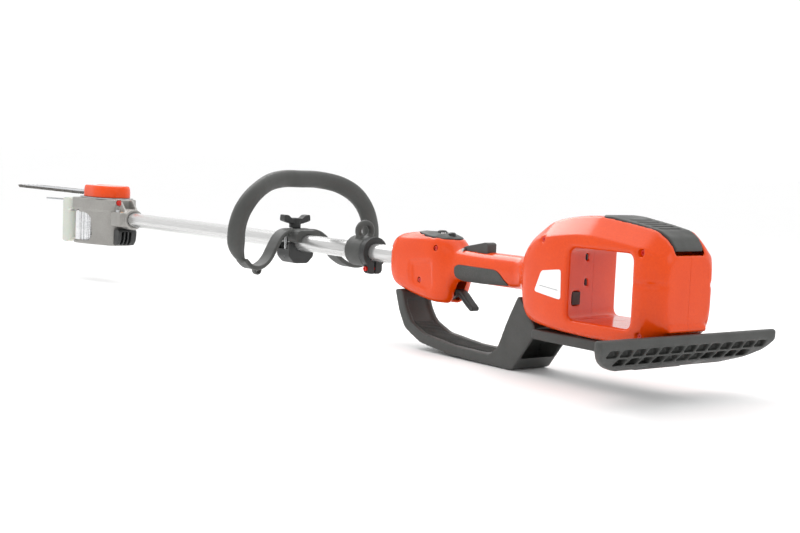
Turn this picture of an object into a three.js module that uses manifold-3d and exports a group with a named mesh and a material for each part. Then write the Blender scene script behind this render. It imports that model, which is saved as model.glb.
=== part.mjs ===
// Short-shaft battery pole saw, built lying level: shaft along X, cutting head
// towards -X, battery housing towards +X, +Z up, loop handle upright.
// Z = 0 is the flat sole of the hand guard. All sizes in millimetres.
import * as THREE from 'three';
import { mergeVertices } from 'three/addons/utils/BufferGeometryUtils.js';
import Module from 'manifold-3d';

const wasm = await Module();
wasm.setup();

// ---- driving dimensions -------------------------------------------------
const TUBE_Z = 112; // height of the shaft axis over the guard sole
const TUBE_R = 12; // 24 mm shaft tube
const TUBE_WALL = 1.5;
const TUBE_FRONT = -998;
const TUBE_REAR = -192;
const GAP = 0.3; // clearance left between neighbouring pieces

const BAR_Z = 151; // mid plane of the guide bar
const BAR_T = 4.2;
const BAR_HALF = 22;
const BAR_TIP = -1411; // outside of the chain at the nose
const BAR_TAIL = -1075;
const CHAIN_H = 6;
const CHAIN_T = 6.4;
const SPROCKET = { x: -1050, y: 0 };
const STUD_X = -1101;
const MOTOR = { x: -1090, y: -20.2, r: 25 };
const PINION_R = 15.2;
const GEAR_R = 29.6;
const TENSION = { y: -12, z: 139 };
const TANK = { x: -1139, y: -20, z0: 63, z1: 142 };
const DECK = { z0: 124, floor: 128, z1: 144 };

const LOOP = { saddle: -468, limb: -450, halfWidth: 116, limbR: 13 };
const RING_X = -312;
const COLLAR_SCREW_X = RING_X + 21.5;
const HOUSE_HALF = 50; // half width of the battery housing
const BAY = { x0: 121, x1: 212, z0: 72.5, z1: 151.5 };
const BAY_SLANT = 0.19; // forward run of the bay's front wall per millimetre across
const FOOT_HALF = 140;
const TRIGGER_PIVOT = { x: -127, z: 72 };

// ---- finishes -----------------------------------------------------------
const finish = (color, metalness, roughness) =>
  new THREE.MeshStandardMaterial({ color, metalness, roughness });
const ORANGE = finish(0xf04a14, 0, 0.3);
const DARK = finish(0x4a4b49, 0, 0.55);
const BLACK = finish(0x1d1e1f, 0, 0.6);
const CAST = finish(0x9c9a96, 0.9, 0.45);
const STEEL = finish(0xb9bbbd, 1, 0.3);
const ALU = finish(0xd4d5d6, 1, 0.3);
const TANK_WHITE = finish(0xe3e5df, 0, 0.4);
const RED = finish(0xd8200f, 0, 0.4);
const COPPER = finish(0xb66a3a, 1, 0.4);
const GREEN = finish(0x1f5b35, 0, 0.6);
const RUBBER = finish(0x5b5c5b, 0, 0.8);

// ---- solid helpers ------------------------------------------------------
function toSolid(geometry) {
  let geo = geometry.clone();
  geo.deleteAttribute('normal');
  geo.deleteAttribute('uv');
  geo = mergeVertices(geo, 1e-4);
  const mesh = new wasm.Mesh({
    numProp: 3,
    vertProperties: new Float32Array(geo.attributes.position.array),
    triVerts: new Uint32Array(geo.index.array),
  });
  mesh.merge();
  return new wasm.Manifold(mesh);
}

function toGeometry(solid) {
  const mesh = solid.getMesh();
  const geo = new THREE.BufferGeometry();
  geo.setAttribute('position', new THREE.BufferAttribute(new Float32Array(mesh.vertProperties), 3));
  geo.setIndex(new THREE.BufferAttribute(new Uint32Array(mesh.triVerts), 1));
  geo.computeVertexNormals();
  return geo;
}

const join = (...solids) => solids.reduce((a, b) => a.add(b));
const cut = (base, ...tools) => tools.reduce((a, b) => a.subtract(b), base);
const common = (a, b) => a.intersect(b);

function box(x0, x1, y0, y1, z0, z1) {
  const geo = new THREE.BoxGeometry(x1 - x0, y1 - y0, z1 - z0);
  geo.translate((x0 + x1) / 2, (y0 + y1) / 2, (z0 + z1) / 2);
  return toSolid(geo);
}

// Cylinder along one axis from a to b, centred on the two other coordinates.
function rod(axis, r, a, b, c1, c2, seg = 28) {
  const sides = seg > 18 ? Math.round(seg * 0.7) : Math.max(8, seg - 4);
  const geo = new THREE.CylinderGeometry(r, r, b - a, sides);
  geo.translate(0, (a + b) / 2, 0);
  if (axis === 'x') geo.applyMatrix4(new THREE.Matrix4().set(0, 1, 0, 0, 1, 0, 0, c1, 0, 0, -1, c2, 0, 0, 0, 1));
  if (axis === 'y') geo.translate(c1, 0, c2);
  if (axis === 'z') geo.applyMatrix4(new THREE.Matrix4().set(1, 0, 0, c1, 0, 0, -1, c2, 0, 1, 0, 0, 0, 0, 0, 1));
  return toSolid(geo);
}

// Polygon in a plane, pushed along the plane normal from a to b.
function slab(plane, points, a, b) {
  const shape = new THREE.Shape(points.map(([u, v]) => new THREE.Vector2(u, v)));
  const geo = new THREE.ExtrudeGeometry(shape, { depth: b - a, bevelEnabled: false, steps: 1 });
  geo.translate(0, 0, a);
  if (plane === 'xz') geo.applyMatrix4(new THREE.Matrix4().set(1, 0, 0, 0, 0, 0, -1, a + b, 0, 1, 0, 0, 0, 0, 0, 1));
  if (plane === 'yz') geo.applyMatrix4(new THREE.Matrix4().set(0, 0, 1, 0, 1, 0, 0, 0, 0, 1, 0, 0, 0, 0, 0, 1));
  return toSolid(geo);
}

// Rounded corners on a polygon.
function soften(points, radius, steps = 3) {
  const out = [];
  const count = points.length;
  for (let i = 0; i < count; i++) {
    const p0 = points[(i + count - 1) % count];
    const p1 = points[i];
    const p2 = points[(i + 1) % count];
    const d0 = Math.hypot(p0[0] - p1[0], p0[1] - p1[1]);
    const d2 = Math.hypot(p2[0] - p1[0], p2[1] - p1[1]);
    const t = Math.min(radius, d0 * 0.45, d2 * 0.45);
    const a = [p1[0] + ((p0[0] - p1[0]) * t) / d0, p1[1] + ((p0[1] - p1[1]) * t) / d0];
    const c = [p1[0] + ((p2[0] - p1[0]) * t) / d2, p1[1] + ((p2[1] - p1[1]) * t) / d2];
    for (let k = 0; k <= steps; k++) {
      const s = k / steps;
      const u = (1 - s) * (1 - s);
      const v = 2 * s * (1 - s);
      out.push([u * a[0] + v * p1[0] + s * s * c[0], u * a[1] + v * p1[1] + s * s * c[1]]);
    }
  }
  return out;
}

const rect = (u0, u1, v0, v1, r, steps) =>
  soften([[u0, v0], [u1, v0], [u1, v1], [u0, v1]], r, steps);

// Ring-by-ring skin along X; each row is [x, zTop, zBottom, halfWidth, squareness].
function loft(rows, inset = 0, count = 20) {
  const verts = [];
  const index = [];
  rows.forEach(([x, top, bottom, half, power]) => {
    const mid = (top + bottom) / 2;
    const h = (top - bottom) / 2 - inset;
    const w = half - inset;
    for (let i = 0; i < count; i++) {
      const t = (i / count) * Math.PI * 2;
      const c = Math.cos(t);
      const s = Math.sin(t);
      const y = w * Math.sign(c) * Math.abs(c) ** (2 / power);
      const z = mid + h * Math.sign(s) * Math.abs(s) ** (2 / power);
      verts.push(x, y, z);
    }
  });
  for (let r = 0; r + 1 < rows.length; r++) {
    for (let i = 0; i < count; i++) {
      const a = r * count + i;
      const b = r * count + ((i + 1) % count);
      index.push(a, b, b + count, a, b + count, a + count);
    }
  }
  const last = (rows.length - 1) * count;
  for (let i = 1; i + 1 < count; i++) {
    index.push(0, i + 1, i, last, last + i, last + i + 1);
  }
  const geo = new THREE.BufferGeometry();
  geo.setAttribute('position', new THREE.Float32BufferAttribute(verts, 3));
  geo.setIndex(index);
  return toSolid(geo);
}

// Round bar following a smooth curve through the given points.
function bentRod(points, r, steps, sides = 10) {
  const curve = new THREE.CatmullRomCurve3(points.map((p) => new THREE.Vector3(...p)), false, 'centripetal');
  const shape = new THREE.Shape();
  for (let i = 0; i < sides; i++) {
    const t = (i / sides) * Math.PI * 2;
    if (i === 0) shape.moveTo(r, 0);
    else shape.lineTo(Math.cos(t) * r, Math.sin(t) * r);
  }
  return toSolid(new THREE.ExtrudeGeometry(shape, { steps, extrudePath: curve }));
}

// Polygon of a strip of given thickness along an open polyline.
function strip(points, half) {
  const left = [];
  const right = [];
  points.forEach((p, i) => {
    const a = points[Math.max(0, i - 1)];
    const b = points[Math.min(points.length - 1, i + 1)];
    const len = Math.hypot(b[0] - a[0], b[1] - a[1]);
    const n = [-(b[1] - a[1]) / len, (b[0] - a[0]) / len];
    const w = Array.isArray(half) ? half[i] : half;
    left.push([p[0] + n[0] * w, p[1] + n[1] * w]);
    right.push([p[0] - n[0] * w, p[1] - n[1] * w]);
  });
  return right.concat(left.reverse());
}

function smoothLine(points, count) {
  const curve = new THREE.SplineCurve(points.map((p) => new THREE.Vector2(...p)));
  return curve.getPoints(count).map((p) => [p.x, p.y]);
}

// Toothed wheel outline.
function gearOutline(cx, cy, rTip, rRoot, teeth) {
  const out = [];
  for (let i = 0; i < teeth; i++) {
    for (const [f, r] of [[0, rRoot], [0.3, rRoot], [0.42, rTip], [0.82, rTip]]) {
      const t = ((i + f) / teeth) * Math.PI * 2;
      out.push([cx + Math.cos(t) * r, cy + Math.sin(t) * r]);
    }
  }
  return out;
}

const hexagon = (cx, cy, r) =>
  [0, 1, 2, 3, 4, 5].map((i) => [cx + r * Math.cos((i * Math.PI) / 3), cy + r * Math.sin((i * Math.PI) / 3)]);

const group = new THREE.Group();
function add(name, solid, material) {
  const mesh = new THREE.Mesh(toGeometry(solid), material);
  mesh.name = name;
  group.add(mesh);
}

// ---- chain path ---------------------------------------------------------
const noseX = BAR_TIP + BAR_HALF + CHAIN_H;

// Closed outline at a distance out from the bar edge, wrapped round both ends.
function loopOutline(out, bumps) {
  const half = BAR_HALF + out;
  const rear = 17 + out;
  const pts = [];
  const push = (x, y, nx, ny, i) => {
    const d = bumps ? [0, 0, -1.6, -1.6][i % 4] : 0;
    pts.push([x + nx * d, y + ny * d]);
  };
  let k = 0;
  const runs = 26;
  for (let i = 0; i <= runs * 2; i++) push(-1088 + ((noseX + 1088) * i) / (runs * 2), half, 0, 1, k++);
  for (let i = 1; i < 14; i++) {
    const t = Math.PI / 2 + (Math.PI * i) / 14;
    push(noseX + half * Math.cos(t), half * Math.sin(t), Math.cos(t), Math.sin(t), k++);
  }
  for (let i = 0; i <= runs * 2; i++) push(noseX + ((-1088 - noseX) * i) / (runs * 2), -half, 0, -1, k++);
  for (let i = 0; i <= 12; i++) {
    const t = -Math.PI / 2 - 0.13 + ((Math.PI + 0.26) * i) / 12;
    push(SPROCKET.x + rear * Math.cos(t), rear * Math.sin(t), Math.cos(t), Math.sin(t), k++);
  }
  return pts;
}

function sawChain() {
  const outer = slab('xy', loopOutline(CHAIN_H, true), BAR_Z - CHAIN_T / 2, BAR_Z + CHAIN_T / 2);
  const inner = slab('xy', loopOutline(GAP, false), BAR_Z - CHAIN_T, BAR_Z + CHAIN_T);
  return cut(outer, inner);
}

// ---- cutting head -------------------------------------------------------
function guideBar() {
  const z0 = BAR_Z - BAR_T / 2;
  const z1 = BAR_Z + BAR_T / 2;
  const outline = [];
  for (let i = 0; i <= 16; i++) {
    const t = Math.PI / 2 + (Math.PI * i) / 16;
    outline.push([noseX + BAR_HALF * Math.cos(t), BAR_HALF * Math.sin(t)]);
  }
  outline.push([-1092, -BAR_HALF], [BAR_TAIL, -16], [BAR_TAIL, 16], [-1092, BAR_HALF]);
  const plate = slab('xy', outline, z0, z1);
  const slot = slab('xy', rect(-1112, BAR_TAIL + 4, -4.4, 4.4, 3), z0 - 1, z1 + 1);
  const pinHole = rod('z', 2.7, z0 - 1, z1 + 1, -1086, TENSION.y, 16);
  const nosePocket = cut(rod('z', 23, BAR_Z - 0.9, BAR_Z + 0.9, noseX, 0, 32),
    rod('z', 3.2, BAR_Z - 2, BAR_Z + 2, noseX, 0, 16));
  return cut(plate, slot, pinHole, nosePocket);
}

function noseSprocket() {
  const wheel = slab('xy', gearOutline(noseX, 0, 21.6, 18.5, 11), BAR_Z - 0.6, BAR_Z + 0.6);
  return cut(wheel, rod('z', 3.5, BAR_Z - 2, BAR_Z + 2, noseX, 0, 16));
}

function driveSprocket() {
  const wheel = slab('xy', gearOutline(SPROCKET.x, 0, 16.6, 12.5, 7), BAR_Z - 3.5, BAR_Z + 3.5);
  return join(wheel,
    rod('z', 5, 106, 160, SPROCKET.x, 0, 20),
    rod('z', 9, BAR_Z - 5.5, BAR_Z - 3, SPROCKET.x, 0, 20),
    rod('z', 7, 157, 158.5, SPROCKET.x, 0, 20));
}

function outputGear() {
  const wheel = slab('xy', gearOutline(SPROCKET.x, 0, GEAR_R - 0.2, GEAR_R - 2, 37), 129, 135);
  return cut(wheel, rod('z', 5.3, 120, 140, SPROCKET.x, 0, 20));
}

function bearing(cx, cy, outer, inner, z0, z1) {
  return cut(rod('z', outer, z0, z1, cx, cy, 24), rod('z', inner, z0 - 1, z1 + 1, cx, cy, 20));
}

function motorShaft() {
  return join(rod('z', 4, 70.5, 136, MOTOR.x, MOTOR.y, 18),
    slab('xy', gearOutline(MOTOR.x, MOTOR.y, PINION_R - 0.2, PINION_R - 2, 19), 129, 135));
}

function motorRotor() {
  return cut(rod('z', 12, 82, 110, MOTOR.x, MOTOR.y, 28), rod('z', 4.3, 80, 112, MOTOR.x, MOTOR.y, 18));
}

function motorStator() {
  const ring = cut(rod('z', 19.6, 82, 110, MOTOR.x, MOTOR.y, 36), rod('z', 12.5, 80, 112, MOTOR.x, MOTOR.y, 28));
  const slots = [];
  for (let i = 0; i < 9; i++) {
    const t = (i / 9) * Math.PI * 2;
    slots.push(rod('z', 2.2, 80, 112, MOTOR.x + 15.4 * Math.cos(t), MOTOR.y + 15.4 * Math.sin(t), 8));
  }
  return cut(ring, ...slots);
}

function motorHousing() {
  const body = slab('xy', gearOutline(MOTOR.x, MOTOR.y, MOTOR.r, MOTOR.r - 2.6, 26), 70, 121.5);
  return cut(body,
    rod('z', 20, 75, 130, MOTOR.x, MOTOR.y, 32),
    rod('z', 8.3, 60, 80, MOTOR.x, MOTOR.y, 20));
}

// Plan outline of the casting's upper deck.
const DECK_PLAN = soften([[-1116, -45], [-1062, -43], [-1012, -25], [-1003, -16], [-1003, 16],
  [-1014, 30], [-1046, 37], [-1098, 37], [-1116, 30]], 7, 3);
const WALL_PLAN = soften([[-1112, -38], [-1100, -47], [-1072, -45], [-1012, -23], [-1006, -14],
  [-1006, 14], [-1018, 26], [-1078, 26], [-1102, 12], [-1112, 0]], 6, 3);

function headHousing() {
  const deck = slab('xy', DECK_PLAN, DECK.z0, DECK.z1);
  const wall = slab('xy', WALL_PLAN, 64, DECK.z0 + 1);
  const web = (y) => slab('xz', [[-1008, 143.9], [-992, 143.9], [-972, 124], [-1008, 124]], y - 2, y + 2);
  const clampBody = join(
    rod('x', 17.5, -1007, -964, 0, TUBE_Z, 32),
    box(-1000, -968, -26, -4, TUBE_Z - 12, TUBE_Z + 12));
  let body = join(deck, wall, clampBody, web(-11), web(11),
    rod('x', 6.5, -1010, -998, TENSION.y, TENSION.z, 20));
  const gearRoom = join(rod('z', 31.5, DECK.floor, 150, SPROCKET.x, 0, 40),
    rod('z', 17, DECK.floor, 150, MOTOR.x, MOTOR.y, 28));
  const motorRoom = rod('z', 26, 68, DECK.z0, MOTOR.x, MOTOR.y, 36);
  const nearWindow = slab('xz', soften([[-1130, 70], [-1056, 70], [-1050, 80], [-1054, 112],
    [-1066, 119], [-1130, 119]], 5, 3), -60, -22);
  const farWindow = box(-1130, -1070, 4, 40, 72, 118);
  const pumpRoom = box(-1059, -1026, -9, 40, 96, 122);
  const cableRoom = join(rod('x', 6, -1070, -990, 0, TUBE_Z - 26, 16), box(-1064, -1012, -8, 8, 76, 92));
  body = cut(body, gearRoom, motorRoom, nearWindow, farWindow, pumpRoom, cableRoom,
    rod('x', TUBE_R + GAP, -1000, -900, 0, TUBE_Z, 32),
    rod('x', 5, -1014, -995, 0, TUBE_Z, 16),
    box(-1003, -960, -40, -6, TUBE_Z - 1, TUBE_Z + 1),
    rod('z', 2.9, TUBE_Z - 30, TUBE_Z + 30, -984, -20.5, 14),
    rod('z', 8.3, 120, 130, MOTOR.x, MOTOR.y, 20),
    rod('z', 8.3, 120, 130, SPROCKET.x, 0, 20),
    rod('z', 4.3, 118, 150, STUD_X, 0, 16),
    rod('x', 2.9, -1040, -996, TENSION.y, TENSION.z, 14),
    rod('x', 5, -1001, -990, TENSION.y, TENSION.z, 16),
    box(-1120, -1107, 6, 22, 132.3, 135.9));
  return body;
}

function barPlate() {
  const plan = soften([[-1115, -30], [-1060, -36], [-1030, -34], [-1012, -20], [-1010, 16],
    [-1030, 33], [-1098, 34], [-1115, 27]], 6, 3);
  const plate = slab('xy', plan, 144.3, 145.9);
  const pad = box(-1114, -1092, -13, 13, 145, 148.6);
  return cut(join(plate, pad),
    rod('z', 11, 140, 150, SPROCKET.x, 0, 24),
    rod('z', 4.3, 140, 150, STUD_X, 0, 16),
    box(-1091.5, -1077, TENSION.y - 3.2, TENSION.y + 3.2, 140, 150));
}

function adjusterBlock() {
  const block = box(-1091, -1081, TENSION.y - 4, TENSION.y + 4, 136, 143.6);
  return cut(join(block, rod('z', 2.4, 140, 152.6, -1086, TENSION.y, 14)),
    rod('x', 2.8, -1100, -1070, TENSION.y, TENSION.z, 14));
}

function tensionScrew() {
  const slotCut = box(-999.6, -995, TENSION.y - 4, TENSION.y + 4, TENSION.z - 0.6, TENSION.z + 0.6);
  return cut(join(rod('x', 2.5, -1094, -999, TENSION.y, TENSION.z, 14),
    rod('x', 4.6, -1000.6, -996.8, TENSION.y, TENSION.z, 18)), slotCut);
}

const COVER_PLAN = soften([[-1096, -33], [-1052, -33], [-1030, -27], [-1018, -13], [-1017, 10],
  [-1028, 26], [-1050, 33], [-1128, 33], [-1130, 28]], 9, 4);
const COVER_ROOM = soften([[-1120, -30], [-1053, -30], [-1032, -24.5], [-1021, -12], [-1020, 9],
  [-1030.5, 23.5], [-1051, 30], [-1150, 30], [-1150, -30]], 7, 3);

function sprocketCover() {
  const shell = slab('xy', COVER_PLAN, 146.2, 163.5);
  const crown = slab('xy', COVER_PLAN.map(([x, y]) => [-1060 + (x + 1060) * 0.965, y * 0.93]), 163, 167);
  const room = slab('xy', COVER_ROOM, 140, 161.5);
  const boss = rod('z', 13, 153.6, 164, STUD_X, 0, 28);
  return cut(join(cut(join(shell, crown), room), boss),
    rod('z', 4.5, 150, 170, STUD_X, 0, 18),
    rod('z', 10, 158, 170, STUD_X, 0, 28));
}

function barNut() {
  const body = slab('xy', hexagon(STUD_X, 0, 8), 158.3, 165.6);
  return cut(join(body, rod('z', 9.3, 158.3, 159.8, STUD_X, 0, 24)), rod('z', 4.3, 150, 170, STUD_X, 0, 16));
}

function oilTank() {
  const plan = rect(-1161, -1117.5, -44, 4, 15, 5);
  const body = slab('xy', plan, TANK.z0, TANK.z1);
  const profile = slab('xz', soften([[-1161, 80], [-1154, TANK.z0 + 3], [-1146, TANK.z0], [-1130, TANK.z0],
    [-1117.5, 72], [-1117.5, 135], [-1124, TANK.z1], [-1150, TANK.z1], [-1161, 126]], 7, 3), -60, 20);
  const room = common(slab('xy', rect(-1158, -1120.5, -41, 1, 12, 4), 66.5, 138.5),
    slab('xz', soften([[-1158, 82], [-1151, 68], [-1130, 66.5], [-1120.5, 74], [-1120.5, 138.5],
      [-1150, 138.5], [-1158, 124]], 6, 3), -60, 20));
  const ribs = [];
  for (let i = 0; i < 7; i++) ribs.push(box(-1165, -1158.5, -36, -4, 80 + i * 7, 81.6 + i * 7));
  const neck = rod('y', 12, 2, 8, -1139, 104, 24);
  const hole = rod('y', 9.5, 0, 12, -1139, 104, 24);
  const ledge = box(-1129, -1117.5, -45.5, -30, 118, 122);
  return cut(join(common(body, profile), neck, ledge, ...ribs), room, hole);
}

function tankCap() {
  const skirt = slab('xz', gearOutline(-1139, 104, 15.5, 14.6, 16), 5, 13);
  const socket = rod('y', 12.4, 0, 8.4, -1139, 104, 24);
  return join(cut(skirt, socket), box(-1150, -1128, 12.6, 16, 102, 106));
}

function limbHook() {
  const line = smoothLine([[-1108, 14], [-1140, 15], [-1170, 13], [-1205, 5], [-1238, -9], [-1267, -22]], 18);
  const width = line.map((p, i) => 7.4 - 5.6 * Math.max(0, (i - 5) / 13));
  return slab('xy', strip(line, width), 132.7, 135.5);
}

function oilPump() {
  return cut(box(-1045.5, -1029.5, 5, 24, 104, 121.6), rod('y', 3, 0, 20, -1037.5, 113, 16));
}

function pumpGear() {
  return join(slab('xz', gearOutline(-1037.5, 113, 7, 6.2, 14), -2.6, 2.6),
    rod('y', 2.6, -2.6, 18, -1037.5, 113, 14));
}

function headRearCover() {
  const block = slab('xz', soften([[-1005.5, 66], [-996, 65.5], [-988, 74], [-986, 90], [-989, 93.6],
    [-1005.5, 93.6]], 4, 3), -17, 17);
  const ribs = [-11, -4, 3].map((y) => box(-1001.5, -980, y, y + 4.4, 60, 90));
  return cut(block, ...ribs);
}

// ---- shaft, loop handle, harness ring -----------------------------------
function shaftTube() {
  return cut(rod('x', TUBE_R, TUBE_FRONT, TUBE_REAR, 0, TUBE_Z, 36),
    rod('x', TUBE_R - TUBE_WALL, TUBE_FRONT - 1, TUBE_REAR + 1, 0, TUBE_Z, 36));
}

// Pushes geometry back along X with distance from the centre plane.
function sweepBack(solid) {
  return solid.warp((v) => {
    const t = Math.min(1, Math.max(0, (Math.abs(v[1]) - 18) / 80));
    v[0] += (LOOP.limb - LOOP.saddle) * t * t * (3 - 2 * t);
  });
}

function loopHandle() {
  const x = LOOP.saddle;
  const right = [[104, -26], [113, -10], [116, 6], [114, 27], [105, 49], [87, 69.5], [61, 84], [30, 90]];
  const path = right.map(([y, z]) => [x, -y, TUBE_Z + z])
    .concat([[x, 0, TUBE_Z + 90.5]], right.slice().reverse().map(([y, z]) => [x, y, TUBE_Z + z]));
  const limb = bentRod(path, LOOP.limbR, 36);
  const arm = (s) => {
    const pts = smoothLine([[0, 16.5], [22, 16], [36, 9], [48, -6], [60, -22], [76, -32], [94, -32], [106, -22]], 18)
      .map(([y, z]) => [s * y, TUBE_Z + z]);
    return slab('yz', strip(s > 0 ? pts : pts.reverse(), 2.8), x - 12, x + 13);
  };
  const saddle = slab('yz', soften([[-20, TUBE_Z + 0.4], [20, TUBE_Z + 0.4], [22, TUBE_Z + 10], [17, TUBE_Z + 18],
    [-17, TUBE_Z + 18], [-22, TUBE_Z + 10]], 4, 3), x - 25, x + 26);
  const lug = cut(box(x - 4, x + 5, -86, -72, TUBE_Z - 44, TUBE_Z - 30), rod('x', 3, x - 9, x + 9, -79, TUBE_Z - 39, 14));
  const solid = sweepBack(join(limb, arm(1), arm(-1), saddle, lug));
  return cut(solid,
    rod('x', TUBE_R + GAP, -560, -380, 0, TUBE_Z, 36),
    box(-489, -465, -24, -14.2, TUBE_Z - 1, TUBE_Z + 8),
    rod('z', 2.8, TUBE_Z - 2, TUBE_Z + 9, -474, -17, 14),
    rod('z', 2.8, TUBE_Z - 2, TUBE_Z + 13, -474, 17, 14),
    rod('z', 3.4, TUBE_Z + 13.5, TUBE_Z + 22, -478, 0, 16));
}

function loopClamp() {
  const block = slab('yz', soften([[-21, TUBE_Z - 0.4], [-21, TUBE_Z - 20], [-11, TUBE_Z - 30], [11, TUBE_Z - 30],
    [21, TUBE_Z - 20], [21, TUBE_Z - 0.4]], 3, 2), -491, -459);
  return cut(block,
    rod('x', TUBE_R + GAP, -560, -380, 0, TUBE_Z, 36),
    box(-489, -465, -30, -14.2, TUBE_Z - 10, TUBE_Z + 2),
    rod('z', 2.8, TUBE_Z - 22, TUBE_Z + 2, -474, -17, 14),
    rod('z', 2.8, TUBE_Z - 22, TUBE_Z + 2, -474, 17, 14));
}

function clampBolt(y) {
  return rod('z', 2.5, TUBE_Z - 21, TUBE_Z + 8.5, -474, y, 14);
}

function clampKnob() {
  const cx = -478;
  const wing = slab('yz', soften([[-22.5, 142], [-22, 151], [-15, 150.5], [-7, 145.5], [7, 145.5], [15, 150.5],
    [22, 151], [22.5, 142], [9, 138], [-9, 138]], 2, 2), cx - 6.5, cx + 6.5);
  return join(wing, rod('z', 8.5, 131.7, 146, cx, 0, 24), rod('z', 3, 126.5, 132.5, cx, 0, 14));
}

function stopCollar() {
  const x0 = RING_X - 20;
  const body = join(rod('x', 15.6, x0, RING_X + 18, 0, TUBE_Z, 32),
    rod('x', 17.6, x0, x0 + 2.6, 0, TUBE_Z, 32),
    rod('x', 20.5, RING_X + 16.4, RING_X + 26.6, 0, TUBE_Z, 36),
    slab('yz', soften([[-12, 96], [-12, 86], [-8, 83], [8, 83], [12, 86], [12, 96]], 2, 2),
      RING_X + 16.4, RING_X + 26.6));
  return cut(body,
    rod('x', TUBE_R + GAP, -400, -200, 0, TUBE_Z, 36),
    box(RING_X + 10, RING_X + 40, -1.2, 1.2, 70, 108),
    rod('y', 2.8, -20, 20, COLLAR_SCREW_X, 90, 14),
    rod('y', 4.4, -20, -9.4, COLLAR_SCREW_X, 90, 16));
}

function harnessRing() {
  const body = rod('x', 20.5, RING_X - 17, RING_X + 16, 0, TUBE_Z, 36);
  const eye = new THREE.TorusGeometry(10.6, 4.6, 8, 18);
  eye.rotateY(Math.PI / 2);
  eye.scale(1.15, 1, 1);
  eye.translate(RING_X + 1, 0, TUBE_Z + 27);
  const foot = box(RING_X - 5, RING_X + 7, -11, 11, TUBE_Z + 12, TUBE_Z + 21);
  return cut(join(body, toSolid(eye), foot),
    rod('x', 15.9, -400, -200, 0, TUBE_Z, 32),
    rod('x', 6.4, RING_X - 20, RING_X + 20, 0, TUBE_Z + 27, 20));
}

function collarScrew() {
  return join(slab('xz', hexagon(COLLAR_SCREW_X, 90, 3.8), -14, -9.8),
    rod('y', 2.5, -10, 14, COLLAR_SCREW_X, 90, 14));
}

// ---- rear handle --------------------------------------------------------
const HANDLE_ROWS = [
  [-225, 134, 86, 20, 2.9], [-222.4, 138, 80, 23, 3.1], [-217, 141, 76, 24.6, 3.3],
  [-205, 144.5, 73, 26, 3.4], [-168, 149, 65.5, 26.5, 3.6], [-140, 147.5, 61.5, 26, 3.4],
  [-125, 144.5, 61.5, 24, 3], [-116, 140, 67, 21.5, 2.8], [-110, 135, 83, 20, 2.6],
  [-105, 132, 91, 19, 2.5], [-60, 131, 91.5, 18.5, 2.4], [0, 131, 91.5, 18.5, 2.4],
  [15, 133, 89, 21, 2.6], [28, 140, 85.5, 29, 3], [37.7, 149, 82, 38.5, 3.4]];
const HOUSE_ROWS = [
  [38.2, 150, 77, 39, 3.4], [46, 156, 62, 43.5, 3.8], [58, 165, 58.5, 46.2, 4.2], [74, 176, 57.5, 48, 4.4],
  [95, 182, 56, 49.5, 4.8], [125, 186.5, 55, HOUSE_HALF, 5], [150, 187.5, 54, HOUSE_HALF, 5],
  [200, 181, 55, HOUSE_HALF, 5], [222, 177, 58, 49.5, 4.8], [236, 171, 63, 47.5, 4.6],
  [244, 162, 70, 44, 4.4], [249, 150, 82, 37, 4]];

const halfSpace = (side) => (side < 0 ? box(-400, 400, -200, -0.15, -50, 300) : box(-400, 400, 0.15, 200, -50, 300));

const KEYPAD_PLAN = soften([[-184, -10], [-172, -18], [-146, -20.5], [-124, -15.5], [-117.5, 0], [-124, 15.5],
  [-146, 20.5], [-172, 18], [-184, 10]], 7, 3);
const growPlan = (plan, cx, cy, by) => plan.map(([x, y]) => {
  const d = Math.hypot(x - cx, y - cy);
  return [cx + ((x - cx) * (d + by)) / d, cy + ((y - cy) * (d + by)) / d];
});

const gripPadSide = soften([[-104, 96], [-103, 110], [-96, 113], [-30, 112.5], [-22, 109], [-9, 95], [-60, 92], [-96, 92.5]], 4, 3);

function gripPad(side) {
  const skin = cut(loft(HANDLE_ROWS, -0.7), loft(HANDLE_ROWS, 0.9));
  const patch = side < 0 ? slab('xz', gripPadSide, -40, -5) : slab('xz', gripPadSide, 5, 40);
  return common(skin, patch);
}

function handleShell(side) {
  const outer = loft(HANDLE_ROWS);
  const room = cut(loft(HANDLE_ROWS, 2.8, 14),
    box(-230, -220.6, -40, 40, 60, 160),
    box(-210, -206, -40, 40, 60, 160),
    box(-194, -190, -40, 40, 60, 160),
    box(-137, -110, -40, 40, 55, 66));
  const openEnd = box(37, 45, -35, 35, 86, 146);
  const patch = join(slab('xz', gripPadSide, -40, -4.6), slab('xz', gripPadSide, 4.6, 40));
  const padSeat = common(cut(loft(HANDLE_ROWS, -3), loft(HANDLE_ROWS, 1.2)), growPatch(patch));
  return cut(common(outer, halfSpace(side)), room, openEnd, padSeat,
    rod('x', TUBE_R + GAP, -260, -180, 0, TUBE_Z, 36),
    slab('xy', growPlan(KEYPAD_PLAN, -143, 0, 0.4), 141, 170),
    box(-103, -55, -7.7, 7.7, 120, 150),
    box(-138, -96, -6.6, 6.6, 50, 90.5),
    rod('y', 2.3, -12, 12, TRIGGER_PIVOT.x, TRIGGER_PIVOT.z, 14),
    rod('y', 2.3, -12.4, 12.4, -97, 130.5, 14));
}

function growPatch(patch) {
  return join(patch, patch.translate([0, 0, 0.4]), patch.translate([0.4, 0, 0]), patch.translate([-0.4, 0, 0]),
    patch.translate([0, 0, -0.4]));
}

function keypadPanel() {
  return cut(common(slab('xy', KEYPAD_PLAN, 141.4, 170), loft(HANDLE_ROWS, -1.3)),
    rod('z', 6.4, 130, 160, -150, 0, 24), rod('z', 4.9, 130, 160, -131, 0, 20));
}

function lockoutLever() {
  return cut(slab('xz', soften([[-101, 128], [-101, 133.5], [-96, 135.5], [-61, 142.6], [-56.5, 141], [-56.5, 127],
    [-62, 125], [-96, 126]], 1.5, 2), -7.3, 7.3),
  rod('y', 2.3, -10, 10, -97, 130.5, 14));
}

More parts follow.
